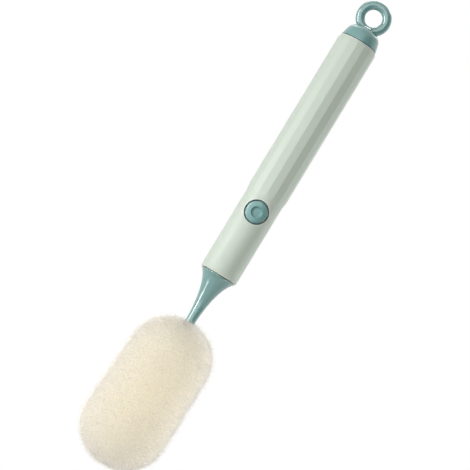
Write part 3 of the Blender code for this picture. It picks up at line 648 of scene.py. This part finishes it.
# %% Turn the cap
SIDES = 128
FIT_GAP = 0.3 * MM
cap_low, cap_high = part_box("end_cap")
barrel_low, barrel_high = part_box("barrel")
CAP_R, CAP_TOP_Z = cap_high.x, cap_high.z
SEAM_Z = barrel_high.z + FIT_GAP
SPIGOT_BOTTOM_Z = cap_low.z
foot_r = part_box("hanging_ring")[1].y
POCKET_R = foot_r + FIT_GAP
CAP_LIP = 0.8 * MM
POCKET_DEPTH = 2.85 * MM
CAP_FLOOR = 3.0 * MM
POST_BORE_R = 2.9 * MM
CAP_HOLLOW_R = 7.7 * MM
CAP_SPIGOT_R = 10.3 * MM
SEAM_MORE = 0.2 * MM
SEAL_DROP = 4.0 * MM
SEAL_HALF = 0.8 * MM
SEAL_DEPTH = 1.3 * MM
SHOULDER_IN = 1.45 * MM
SHOULDER_DROP = 2.6 * MM

cap_top_r = POCKET_R + CAP_LIP
cap_edge_z = SEAM_Z + SEAM_MORE
shoulder = (CAP_R - SHOULDER_IN, CAP_TOP_Z - SHOULDER_DROP)
pocket_floor_z = CAP_TOP_Z - POCKET_DEPTH
ceiling_z = pocket_floor_z - CAP_FLOOR
seal_z = SEAM_Z - SEAL_DROP
outline = [
    (POCKET_R, CAP_TOP_Z),
    (POCKET_R, pocket_floor_z),
    (POST_BORE_R, pocket_floor_z),
    (POST_BORE_R, ceiling_z),
    (CAP_HOLLOW_R, ceiling_z),
    (CAP_HOLLOW_R, SPIGOT_BOTTOM_Z),
    (CAP_SPIGOT_R, SPIGOT_BOTTOM_Z),
    (CAP_SPIGOT_R, seal_z - SEAL_HALF),
    (CAP_SPIGOT_R - SEAL_DEPTH, seal_z - SEAL_HALF),
    (CAP_SPIGOT_R - SEAL_DEPTH, seal_z + SEAL_HALF),
    (CAP_SPIGOT_R, seal_z + SEAL_HALF),
    (CAP_SPIGOT_R, cap_edge_z),
]
outline += curve((CAP_R, cap_edge_z), shoulder, shoulder, (cap_top_r, CAP_TOP_Z), steps=28)
outline.append(outline[0])
cap = spin_outline("cap_moulding", outline, SIDES)
soften_rims([
    (CAP_R, cap_edge_z, 0.2 * MM),
    (cap_top_r, CAP_TOP_Z, 0.35 * MM),
    (POCKET_R, CAP_TOP_Z, 0.25 * MM),
])
dress(cap, "handle", teal_soft, ["end_cap"])

# %% [markdown]
# The ring
#
# The ring is one moulding: a round loop that flows into a foot, and the foot sits in the cap's
# pocket on a post that lets it turn. The loop is a torus and the foot is turned, with a small
# dome between the loop's two arms, and a Boolean union makes them one skin. The photo shows a
# bright arc above the cap, which may well be a lamp in that dome. It is a guess: the dome has
# a slanting lip, which can catch a light from above and behind, and a recess below the lip that
# stays dark.

# %% Model the ring
RING_R = 8.75 * MM
RING_TUBE_R = 3.1 * MM
HUB_R = 5.2 * MM
HUB_TOP_Z = -7.4 * MM
HUB_LIP_Z = -8.25 * MM
HUB_LIP = 1.1 * MM
HUB_LIP_RISE = 0.78 * MM
HUB_FLAT = 1.0 * MM
HUB_EASE = 1.3
HUB_WALL_R = 4.2 * MM
POST_R = 2.6 * MM
POST_TIP = 0.75 * MM
FOOT_DROP = 0.1 * MM
WASHER_THICKNESS = 0.6 * MM
GROOVE_DEPTH = 1.0 * MM
GROOVE_HEIGHT = 1.2 * MM

ring_low, ring_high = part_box("hanging_ring")
foot_bottom_z = -(ring_high.z + FOOT_DROP)
washer_bottom_z = ceiling_z - FIT_GAP - WASHER_THICKNESS
groove_r = POST_R - GROOVE_DEPTH
groove_bottom_z = washer_bottom_z - GROOVE_HEIGHT

rest()
bpy.ops.mesh.primitive_torus_add(
    major_segments=160,
    minor_segments=56,
    major_radius=RING_R,
    minor_radius=RING_TUBE_R,
    rotation=(math.pi / 2, 0, 0),
)
ring = open_piece("ring_moulding")
outline = curve(
    (0, HUB_TOP_Z),
    (HUB_FLAT, HUB_TOP_Z),
    (HUB_R - HUB_EASE * HUB_LIP, HUB_TOP_Z),
    (HUB_R - HUB_LIP, HUB_LIP_Z + HUB_LIP_RISE),
    steps=14,
)
outline += [
    (HUB_R, HUB_LIP_Z),
    (HUB_WALL_R, HUB_LIP_Z),
    (HUB_WALL_R, CAP_TOP_Z),
    (foot_r, CAP_TOP_Z),
    (foot_r, foot_bottom_z),
    (POST_R, foot_bottom_z),
    (POST_R, washer_bottom_z),
    (groove_r, washer_bottom_z),
    (groove_r, groove_bottom_z),
    (POST_R, groove_bottom_z),
    (POST_R, ring_low.z + POST_TIP),
    (POST_R / 2, ring_low.z),
    (0, ring_low.z),
]
foot = spin_outline("ring_foot", outline, SIDES)
soften_rims([(foot_r, CAP_TOP_Z, 0.25 * MM)])
combine(ring, foot, "UNION")
dress(ring, "hanger", teal_gloss, ["hanging_ring"])

# %% [markdown]
# The handle
#
# The handle is a tube. Its upper two thirds carry sixteen flat facets, which fade within a few
# millimetres into a plain round lower part. It starts as a sixteen-sided cylinder, because the
# flats are what shows. The corners are beveled, each flat is cut into narrow columns, and the
# open ends are then extruded ring by ring while To Sphere rounds them a little more each time.

# %% Model the facets
FACETS = 16
FACET_TURN_DEG = -2.5
FACET_CORNER_R = 13.7 * MM
BARREL_R = 13.0 * MM
FACET_START = 56.8 * MM
FACET_FADE = 6.0 * MM
FACET_END = 2.2 * MM
FACET_END_FADE = 1.2 * MM
CORNER_SOFT = 0.35 * MM
FLAT_COLUMNS = 6
MOUTH_Z, BARREL_TOP_Z = barrel_low.z, barrel_high.z

facets_low = MOUTH_Z + FACET_START + FACET_FADE
facets_high = BARREL_TOP_Z - FACET_END
half_turn = math.pi / FACETS
rest()
bpy.ops.mesh.primitive_cylinder_add(
    vertices=FACETS,
    radius=FACET_CORNER_R,
    depth=facets_high - facets_low,
    end_fill_type="NOTHING",
    location=(0, 0, (facets_high + facets_low) / 2),
    rotation=(0, 0, math.radians(FACET_TURN_DEG)),
)
barrel = open_piece("barrel_moulding")


def is_upright(edge):
    first, second = edge.verts
    return abs(first.co.z - second.co.z) > MM


def is_level(edge):
    return not is_upright(edge)


pick("EDGE", is_upright)
bpy.ops.mesh.bevel(offset=CORNER_SOFT, segments=3, affect="EDGES")
wide = 1.5 * CORNER_SOFT
pick("EDGE", lambda edge: is_level(edge) and edge.calc_length() > wide)
bpy.ops.mesh.subdivide(number_cuts=FLAT_COLUMNS - 1)
columns = pick("EDGE", lambda edge: is_level(edge) and edge.verts[0].co.z > facets_high - MM)
print("columns round the handle:", columns)

# %% [markdown]
# Now the ends. One helper extrudes the open ring that is selected, moves it, rounds it by a
# share and gives it a new radius. Below, ten rings ease the facets into the round grip, which
# runs on down to the mouth. Above, the facets stop just short of the cap, and the tube turns in
# and runs down again as its bore.

# %% Extrude the ends
END_ROUND = 0.3 * MM
UPPER_BORE_R = 10.6 * MM
BORE_R = 11.2 * MM
BORE_STEP_Z = -130.1 * MM
GRIP_RINGS = 14
FADE_RINGS = 10


def mean_radius():
    """Mean distance of the selected corners from the handle's axis."""
    shape = bmesh.from_edit_mesh(bpy.context.object.data)
    chosen = [vert.co.xy.length for vert in shape.verts if vert.select]
    return sum(chosen) / len(chosen)


def next_ring(drop, rounding=0.0, radius=None):
    """Extrudes the selected ring by a height, rounds it by a share and sets its mean radius."""
    bpy.ops.mesh.extrude_region_move(TRANSFORM_OT_translate={"value": (0, 0, drop)})
    if rounding:
        bpy.ops.transform.tosphere(value=rounding)
    if radius:
        k = radius / mean_radius()
        bpy.ops.transform.resize(value=(k, k, 1), center_override=(0, 0, 0))


flat_radius = FACET_CORNER_R * (1 + math.cos(half_turn)) / 2
pick("EDGE", lambda edge: is_level(edge) and edge.verts[0].co.z < facets_low + MM)
done = 0.0
for ring_number in range(1, FADE_RINGS + 1):
    t = ring_number / FADE_RINGS
    eased = t * t * (3 - 2 * t)
    share = 1.0 if ring_number == FADE_RINGS else (eased - done) / (1 - done)
    done = eased
    next_ring(-FACET_FADE / FADE_RINGS, share, flat_radius + (BARREL_R - flat_radius) * eased)
for _ in range(GRIP_RINGS):
    next_ring(-(FACET_START - END_ROUND) / GRIP_RINGS)
next_ring(-END_ROUND, radius=BARREL_R - END_ROUND)

pick("EDGE", lambda edge: is_level(edge) and edge.verts[0].co.z > facets_high - NEAR)
next_ring(FACET_END_FADE / 2, 0.5, (flat_radius + BARREL_R) / 2)
next_ring(FACET_END_FADE / 2, 1.0, BARREL_R)
next_ring(FACET_END - FACET_END_FADE - END_ROUND)
next_ring(END_ROUND, radius=BARREL_R - END_ROUND)
next_ring(0, radius=UPPER_BORE_R)
next_ring(BORE_STEP_Z - BARREL_TOP_Z)
next_ring(0, radius=BORE_R)
next_ring(MOUTH_Z - BORE_STEP_Z)
pick("EDGE", lambda edge: is_level(edge) and len(edge.link_faces) == 1)
bpy.ops.mesh.bridge_edge_loops()
bpy.ops.mesh.select_all(action="SELECT")
bpy.ops.mesh.normals_make_consistent(inside=False)

# %% [markdown]
# The button's hole is round and goes straight through the front wall. A Boolean cut is exact
# there, and a narrow bevel round its rim catches the light as the photo shows.

# %% Cut the button's hole
BUTTON_R = 7.35 * MM
BUTTON_GAP = 0.78 * MM
HOLE_R = BUTTON_R + BUTTON_GAP
HOLE_SOFT = 0.18 * MM
OUTSIDE_REACH = 0.1 * MM
button_low, button_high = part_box("push_button")
BUTTON_Z = (button_low.z + button_high.z) / 2

rest()
bpy.ops.mesh.primitive_cylinder_add(
    vertices=SIDES,
    radius=HOLE_R,
    depth=2 * BARREL_R,
    location=(0, -BARREL_R, BUTTON_Z),
    rotation=(math.pi / 2, 0, 0),
)
hole = open_piece("button_hole")
combine(barrel, hole, "DIFFERENCE")
bpy.ops.object.mode_set(mode="EDIT")


def from_button_axis(vert):
    return math.hypot(vert.co.x, vert.co.z - BUTTON_Z)


def on_hole_rim(edge):
    return all(
        abs(from_button_axis(vert) - HOLE_R) < NEAR
        and vert.co.y < 0
        and abs(vert.co.xy.length - BARREL_R) < OUTSIDE_REACH
        for vert in edge.verts
    )


print("hole rim edges:", pick("EDGE", on_hole_rim))
bpy.ops.mesh.bevel(offset=HOLE_SOFT, segments=2, affect="EDGES")
apply_modifier(barrel, "WEIGHTED_NORMAL", keep_sharp=True, weight=80)
dress(barrel, "handle", mint_satin, ["barrel"], smooth_deg=35)

# %% [markdown]
# A thin pale line runs along both ends of the handle and round the button's hole, where the
# moulding's edges are a little rounded and catch the light. The rounding is finer than a pixel,
# so a group paints that light on as a pale line: a painted highlight. It measures how far each
# point is from the nearest edge, in the object's own coordinates. The hole is only in front, so
# the back counts as far.
# The wall inside the hole is painted dark: painted shade, for the shade in the gap round a button.

# %% Paint the edge highlight and the gap shade
EDGE_HIGHLIGHT_WIDTH = 0.9 * MM
EDGE_HIGHLIGHT_SHARE = 0.65
EDGE_HIGHLIGHT_COLOUR = (0.93, 0.96, 0.92, 1.0)
# painted shade for the gap round the button: the hole's wall is darkened to this share
GAP_SHADE = 0.12
GAP_SHADE_COLOUR = (*(channel * GAP_SHADE for channel in EDGE_HIGHLIGHT_COLOUR[:3]), 1.0)
GAP_REACH = 0.08 * MM
edge_highlight, start, end = new_group(
    "edge_highlight",
    [
        ("Low", FLOAT, -0.2),
        ("High", FLOAT, 0.0),
        ("Hole height", FLOAT, -0.1),
        ("Hole radius", FLOAT, 0.008),
        ("Width", FLOAT, 0.001),
    ],
    [("Mask", FLOAT), ("Inside", FLOAT)],
)
place = edge_highlight.nodes.new("ShaderNodeTexCoord")
split = edge_highlight.nodes.new("ShaderNodeSeparateXYZ")
edge_highlight.links.new(place.outputs["Object"], split.inputs["Vector"])
x, y, z = (split.outputs[axis] for axis in "XYZ")
from_low = math_node(edge_highlight, "SUBTRACT", z, start.outputs["Low"])
from_high = math_node(edge_highlight, "SUBTRACT", start.outputs["High"], z)
up = math_node(edge_highlight, "SUBTRACT", z, start.outputs["Hole height"])
square = math_node(
    edge_highlight,
    "ADD",
    math_node(edge_highlight, "MULTIPLY", up, up),
    math_node(edge_highlight, "MULTIPLY", x, x),
)
from_middle = math_node(edge_highlight, "SQRT", square, 0.0)
from_hole = math_node(edge_highlight, "SUBTRACT", from_middle, start.outputs["Hole radius"])
from_hole = math_node(edge_highlight, "ADD", from_hole, math_node(edge_highlight, "MAXIMUM", y, 0.0))
nearest = math_node(edge_highlight, "MINIMUM", from_low, from_high)
nearest = math_node(edge_highlight, "MINIMUM", nearest, from_hole)
fade = edge_highlight.nodes.new("ShaderNodeMapRange")
fade.inputs["To Min"].default_value = 1.0
fade.inputs["To Max"].default_value = 0.0
edge_highlight.links.new(nearest, fade.inputs["Value"])
edge_highlight.links.new(start.outputs["Width"], fade.inputs["From Max"])
edge_highlight.links.new(fade.outputs["Result"], end.inputs["Mask"])
# painted shade: 1 on the hole's wall, which the mint is darkened over
inside = math_node(edge_highlight, "LESS_THAN", from_hole, GAP_REACH)
edge_highlight.links.new(inside, end.inputs["Inside"])


def lay_over(tree, mask, colour):
    """Lays a colour over what the material has, as far as the mask goes."""
    base = tree.nodes["Principled BSDF"].inputs["Base Color"]
    mix = tree.nodes.new("ShaderNodeMix")
    mix.data_type = "RGBA"
    factor, under, over = (mix.inputs[index] for index in (0, 6, 7))
    over.default_value = colour
    tree.links.new(mask, factor)
    tree.links.new(base.links[0].from_socket, under)
    tree.links.new(mix.outputs[2], base)


tree = mint_satin.node_tree
lines = use_group(
    tree,
    edge_highlight,
    Low=MOUTH_Z,
    High=BARREL_TOP_Z,
    Hole_height=BUTTON_Z,
    Hole_radius=HOLE_R,
    Width=EDGE_HIGHLIGHT_WIDTH,
)
# painted highlight: the mint is lightened in a pale line along the ends and round the hole
lay_over(tree, math_node(tree, "MULTIPLY", lines.outputs["Mask"], EDGE_HIGHLIGHT_SHARE), EDGE_HIGHLIGHT_COLOUR)
# painted shade: the wall inside the button's hole is darkened
lay_over(tree, lines.outputs["Inside"], GAP_SHADE_COLOUR)
print("pale edges:", round(EDGE_HIGHLIGHT_WIDTH / MM, 2), "mm wide")

# %% [markdown]
# The button
#
# The button is a round plug whose face follows the handle's curve, with a round dish for the
# fingertip. It could be cut to the curve with a Boolean, but a bevel round that rim would crease.
# So it is turned as a flat button, dish and soft rim included, and a Displace modifier then lets
# each point of its front down by the handle's fall at that place.

# %% Model the button
BUTTON_PROUD = 0.1 * MM
BUTTON_RIM = 0.7 * MM
DISH_R = 3.85 * MM
DISH_FLOOR_R = 2.75 * MM
DISH_DEPTH = 2.1 * MM
DISH_SOFT = 0.2 * MM
DISH_CORNER_OUT = 0.6 * DISH_SOFT
DISH_CORNER_UP = 0.7 * DISH_SOFT
BRIM = 0.8 * MM
BRIM_LIFT = 0.02 * MM
QUARTER_ROUND = 0.45
LUG_HALF_WIDTH = 2.6 * MM
LUG_FRONT_Y = -10.6 * MM
BUTTON_BACK_Y = -9.0 * MM

face_r = BARREL_R + BUTTON_PROUD
back_drop = face_r + BUTTON_BACK_Y
rim_pull = BUTTON_RIM * QUARTER_ROUND
outline = [
    (0, -DISH_DEPTH),
    (DISH_FLOOR_R / 2, -DISH_DEPTH),
    (DISH_FLOOR_R - DISH_SOFT, -DISH_DEPTH),
    (DISH_FLOOR_R + DISH_CORNER_OUT, -DISH_DEPTH + DISH_CORNER_UP),
    (DISH_R - DISH_SOFT, -DISH_SOFT),
]
outline += curve(
    (DISH_R, -BRIM_LIFT),
    (DISH_R + BRIM / 2, BRIM_LIFT),
    (DISH_R + BRIM, 0),
    (BUTTON_R - BUTTON_RIM, 0),
    steps=8,
)
outline += curve(
    (BUTTON_R - BUTTON_RIM, 0),
    (BUTTON_R - rim_pull, 0),
    (BUTTON_R, -rim_pull),
    (BUTTON_R, -BUTTON_RIM),
    steps=6,
)[1:]
outline += [(BUTTON_R, -back_drop), (0, -back_drop)]
button = spin_outline("button_moulding", outline, SIDES)
rest()
button.select_set(True)
bpy.context.view_layer.objects.active = button
button.rotation_euler = (math.pi / 2, 0, 0)
button.location = (0, -face_r, BUTTON_Z)
bpy.ops.object.transform_apply(location=True, rotation=True, scale=True)

most_fall = face_r - math.sqrt(face_r**2 - BUTTON_R**2)
fall = button.vertex_groups.new(name="fall")
for vert in button.data.vertices:
    if vert.co.y < BUTTON_BACK_Y - MM:
        here = face_r - math.sqrt(face_r**2 - min(abs(vert.co.x), BUTTON_R) ** 2)
        fall.add([vert.index], here / most_fall, "REPLACE")
apply_modifier(
    button,
    "DISPLACE",
    direction="Y",
    strength=most_fall,
    mid_level=0.0,
    vertex_group="fall",
)
button.vertex_groups.clear()
print("the face falls by", round(most_fall / MM, 2), "mm at its sides")

# %% [markdown]
# Behind the face are two lugs that stop the button from falling out of its hole. They are one
# block that runs right across, joined with a Boolean.

# %% Join the button's lugs
rest()
bpy.ops.mesh.primitive_cube_add(
    size=1,
    location=(0, (LUG_FRONT_Y + BUTTON_BACK_Y) / 2, BUTTON_Z),
    scale=(2 * LUG_HALF_WIDTH, BUTTON_BACK_Y - LUG_FRONT_Y, button_high.z - button_low.z),
)
lugs = open_piece("button_lugs")
combine(button, lugs, "UNION")
dress(button, "button", button_satin, ["push_button"], smooth_deg=40)

# %% [markdown]
# The trumpet neck
#
# The neck narrows from the handle's width to a thin stem in one long curve, and a spigot above
# plugs into the handle's mouth. The photo's streak of light runs down its whole length, so the
# curve has to be even: one long cubic that is hollow from the seam to the stem.

# %% Turn the neck
neck_low, neck_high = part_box("neck")
FLANGE_Z = MOUTH_Z - FIT_GAP
NECK_EDGE = 0.45 * MM
NECK_LENGTH = 33.5 * MM
NECK_TIP_R = 3.3 * MM
NECK_SPIGOT_R = 8.7 * MM
SHANK_BORE_R = 5.3 * MM
WIRE_BORE_R = 1.8 * MM
SOCKET_DEPTH = 8.0 * MM
NECK_SEAL_RISE = 2.4 * MM
NECK_PULL_R, NECK_PULL_DROP = 9.25 * MM, 2.6 * MM
NECK_EASE_R, NECK_EASE_DROP = 4.15 * MM, 12.4 * MM

neck_top_z = FLANGE_Z - SEAM_MORE
neck_end_z = FLANGE_Z - NECK_LENGTH
neck_seal_z = FLANGE_Z + NECK_SEAL_RISE
outline = [
    (SHANK_BORE_R, neck_high.z),
    (NECK_SPIGOT_R, neck_high.z),
    (NECK_SPIGOT_R, neck_seal_z + SEAL_HALF),
    (NECK_SPIGOT_R - SEAL_DEPTH, neck_seal_z + SEAL_HALF),
    (NECK_SPIGOT_R - SEAL_DEPTH, neck_seal_z - SEAL_HALF),
    (NECK_SPIGOT_R, neck_seal_z - SEAL_HALF),
    (NECK_SPIGOT_R, neck_top_z),
    (CAP_R, neck_top_z),
]
outline += curve(
    (CAP_R, FLANGE_Z - NECK_EDGE),
    (NECK_PULL_R, FLANGE_Z - NECK_PULL_DROP),
    (NECK_EASE_R, FLANGE_Z - NECK_EASE_DROP),
    (NECK_TIP_R, neck_end_z),
    steps=56,
)
outline += [
    (NECK_TIP_R, neck_low.z),
    (WIRE_BORE_R, neck_low.z),
    (WIRE_BORE_R, FLANGE_Z - SOCKET_DEPTH),
    (SHANK_BORE_R, FLANGE_Z - SOCKET_DEPTH),
    (SHANK_BORE_R, neck_high.z),
]
neck = spin_outline("neck_moulding", outline, SIDES)
soften_rims([
    (CAP_R, neck_top_z, 0.15 * MM),
    (NECK_SPIGOT_R, neck_high.z, 0.3 * MM),
])
dress(neck, "head", teal_gloss, ["neck"])

# %% [markdown]
# The foam
#
# The foam is the largest thing in the picture. It is fine, open and soft: its outline has no
# hard edge, and light goes deep into it. First comes its body. A sphere is pulled apart into a
# capsule, a bore is cut for the stem, and a voxel remesh turns it into even little faces, which
# can take the foam's cells. It is a millimetre smaller than the frame's solid, because loose
# fibres stand out from it.

# %% Shape the foam's body
foam_low, foam_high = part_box("sponge")
FOAM_SINK = 1.0 * MM
SOLID_TOP_R = 28.6 * MM
SOLID_BOTTOM_R = 29.8 * MM
FOAM_TOP_R = SOLID_TOP_R - FOAM_SINK
FOAM_BOTTOM_R = SOLID_BOTTOM_R - FOAM_SINK
FOAM_TOP_X = 0.5 * MM
FOAM_BOTTOM_X = -1.1 * MM
STEM_ROOM = 0.4 * MM
STEM_BORE_DEPTH = 12 * MM
VOXEL = 0.75 * MM

top_centre_z = foam_high.z - SOLID_TOP_R
bottom_centre_z = foam_low.z + SOLID_BOTTOM_R
rest()
bpy.ops.mesh.primitive_uv_sphere_add(
    segments=96,
    ring_count=64,
    radius=FOAM_TOP_R,
    location=(FOAM_TOP_X, 0, top_centre_z),
)
foam = open_piece("foam_body")
pick("VERT", lambda vert: vert.co.z < top_centre_z - NEAR)
pull = (FOAM_BOTTOM_X - FOAM_TOP_X, 0, bottom_centre_z - top_centre_z)
bpy.ops.transform.translate(value=pull)
k = FOAM_BOTTOM_R / FOAM_TOP_R
bottom_centre = (FOAM_BOTTOM_X, 0, bottom_centre_z)
bpy.ops.transform.resize(value=(k, k, k), center_override=bottom_centre)
rest()
bpy.ops.mesh.primitive_cylinder_add(
    vertices=64,
    radius=NECK_TIP_R + STEM_ROOM,
    depth=STEM_BORE_DEPTH,
    location=(0, 0, foam_high.z),
)
stem_bore = open_piece("stem_bore")
combine(foam, stem_bore, "DIFFERENCE")
apply_modifier(foam, "REMESH", mode="VOXEL", voxel_size=VOXEL, adaptivity=0.0)
print("foam faces:", len(foam.data.polygons))

# %% [markdown]
# The foam's surface is knobbly. The knobs are about a millimetre wide, with narrow grooves
# between them. A Displace modifier with a Voronoi texture sinks the borders between its cells
# more than their middles. Finer faces come first, so that a cell is a few faces wide.

# %% Press the cells
CELL_SIZE = 1.4 * MM
CELL_DEPTH = 0.5 * MM
coarse_faces = [(face.center.copy(), face.normal.copy()) for face in foam.data.polygons]
apply_modifier(foam, "SUBSURF", levels=1, render_levels=1)
cells = bpy.data.textures.new("foam_cells", "VORONOI")
cells.noise_scale = CELL_SIZE
cells.weight_1 = -1.0
cells.weight_2 = 1.0
apply_modifier(
    foam,
    "DISPLACE",
    texture=cells,
    texture_coords="LOCAL",
    strength=CELL_DEPTH,
    mid_level=0.5,
)
print("foam cells:", len(foam.data.polygons), "faces")

# %% [markdown]
# The soft outline is made of loose cell walls that stand up from the cut surface. Each is a
# thin three-sided spike, rooted in a small face of the body and leaning its own way. There are
# about 47,000, so they are written straight into one mesh, from a seeded random draw.

# %% Raise the loose fibres
FIBRE_LENGTHS = (1.2 * MM, 4.6 * MM)
FIBRE_THICKNESS = 0.06 * MM
FIBRE_LEAN = 0.6
ROOT_DEPTH = 0.3 * MM
STEM_CLEARANCE = 0.3 * MM
SIN_60 = 0.87
draw = random.Random(11)
points, faces = [], []
for centre, normal in coarse_faces:
    if centre.xy.length < NECK_TIP_R + STEM_CLEARANCE:
        continue
    lean = Vector((draw.gauss(0, 1), draw.gauss(0, 1), draw.gauss(0, 1))) * FIBRE_LEAN
    way = (normal + lean).normalized()
    side = way.orthogonal().normalized() * FIBRE_THICKNESS
    other = way.cross(side)
    root = centre - normal * ROOT_DEPTH
    first = len(points)
    points += [root + side, root - side / 2 + other * SIN_60, root - side / 2 - other * SIN_60]
    points.append(root + way * draw.uniform(*FIBRE_LENGTHS))
    faces += [(first + a, first + b, first + 3) for a, b in ((0, 1), (1, 2), (2, 0))]
    faces.append((first + 2, first + 1, first))
fibre_mesh = bpy.data.meshes.new("foam_fibres")
fibre_mesh.from_pydata(points, [], faces)
fibres = bpy.data.objects.new("foam_fibres", fibre_mesh)
bpy.context.scene.collection.objects.link(fibres)
print("fibres:", len(points) // 4)

# %% [markdown]
# Foam scatters light inside, so its shadow side stays bright. Subsurface does that, with a
# radius larger than the way that light really goes in foam. The open surface also whitens at a
# glancing angle, which is what Sheen is for. The colour is a warm cream, paler along the walls
# between the cells. First comes a group that makes these walls as a mask.

# %% Draw the foam's cells
WALL_WIDTH = 0.3
foam_cells, start, end = new_group(
    "foam_cells",
    [("Cell size", FLOAT, 0.001)],
    [("Wall", FLOAT), ("Tone", FLOAT)],
)
place = foam_cells.nodes.new("ShaderNodeTexCoord")
web = foam_cells.nodes.new("ShaderNodeTexVoronoi")
web.feature = "DISTANCE_TO_EDGE"
patchwork = foam_cells.nodes.new("ShaderNodeTexVoronoi")
scale = math_node(foam_cells, "DIVIDE", 1.0, start.outputs["Cell size"])
for node in (web, patchwork):
    foam_cells.links.new(place.outputs["Object"], node.inputs["Vector"])
    foam_cells.links.new(scale, node.inputs["Scale"])
wall = foam_cells.nodes.new("ShaderNodeMapRange")
wall.inputs["From Min"].default_value = WALL_WIDTH
wall.inputs["From Max"].default_value = 0.0
foam_cells.links.new(web.outputs["Distance"], wall.inputs["Value"])
foam_cells.links.new(wall.outputs["Result"], end.inputs["Wall"])
tone = foam_cells.nodes.new("ShaderNodeSeparateColor")
foam_cells.links.new(patchwork.outputs["Color"], tone.inputs["Color"])
foam_cells.links.new(tone.outputs["Red"], end.inputs["Tone"])
print("group:", foam_cells.name)

# %% [markdown]
# Both meshes of the foam take their colour from that group, with cells a little larger than
# those of the relief. The body gets the subsurface. The loose fibres are too thin for it, so
# they are partly see-through, and a faint glow stands for the light in them.

# %% Mix the foam
MASK_CELL_SIZE = 1.7 * MM
WALL_SHARE, TONE_SHARE = 0.65, 0.35
# first colour: painted shade inside the cells, for the pores; second: the paler walls
BODY_COLOURS = ((0.895, 0.735, 0.53), (0.895, 0.775, 0.6))
BODY_SCATTER = 150 * MM
FIBRE_COLOURS = ((0.99, 0.95, 0.88), (0.99, 0.97, 0.92))
FIBRE_ALPHA = 0.38
FIBRE_GLOW = 0.05
FIBRE_GLOW_COLOUR = (1.0, 0.985, 0.96, 1.0)


def foam_finish(name, colours):
    """Dry, open foam. colours are the cells' insides, in painted shade, and their walls."""
    material, tree, shader = new_material(name)
    pattern = use_group(tree, foam_cells, Cell_size=MASK_CELL_SIZE)
    # painted shade: the cells' insides come out darker than their walls, like shade in pores
    walls = math_node(tree, "MULTIPLY", pattern.outputs["Wall"], WALL_SHARE)
    tones = math_node(tree, "MULTIPLY", pattern.outputs["Tone"], TONE_SHARE)
    colour = ramp_node(tree, math_node(tree, "ADD", walls, tones), *colours)
    tree.links.new(colour, shader.inputs["Base Color"])
    shader.inputs["Roughness"].default_value = 0.95
    shader.inputs["Specular IOR Level"].default_value = 0.0
    shader.inputs["Sheen Weight"].default_value = 1.0
    shader.inputs["Sheen Roughness"].default_value = 0.5
    return material, shader


body_finish, shader = foam_finish("cream_foam", BODY_COLOURS)
shader.inputs["Subsurface Weight"].default_value = 0.85
shader.inputs["Subsurface Radius"].default_value = (1.0, 0.95, 0.85)
shader.inputs["Subsurface Scale"].default_value = BODY_SCATTER

fibre_finish, shader = foam_finish("cream_fibres", FIBRE_COLOURS)
shader.inputs["Alpha"].default_value = FIBRE_ALPHA
shader.inputs["Emission Color"].default_value = FIBRE_GLOW_COLOUR
shader.inputs["Emission Strength"].default_value = FIBRE_GLOW

for piece, finish in ((foam, body_finish), (fibres, fibre_finish)):
    dress(piece, "head", finish, ["sponge"], smooth_deg=60)

# %% [markdown]
# What stays from the frame
#
# The pieces inside the cap, the handle and the foam keep the frame's own shapes. Few of them
# ever show, and only when the head is pulled out, but each still gets its finish.

# %% Finish the inner pieces
FINISHES = {
    "white_moulding": white_moulding,
    "seal_rubber": seal_rubber,
    "spring_steel": spring_steel,
}
for part in frame["record"]["subparts"]:
    node = frame["nodes"][part["node"]]
    if not node.hide_render:
        node.material_slots[0].material = FINISHES[part["material_slot"]]
        print(part["node"], "is", part["material_slot"])
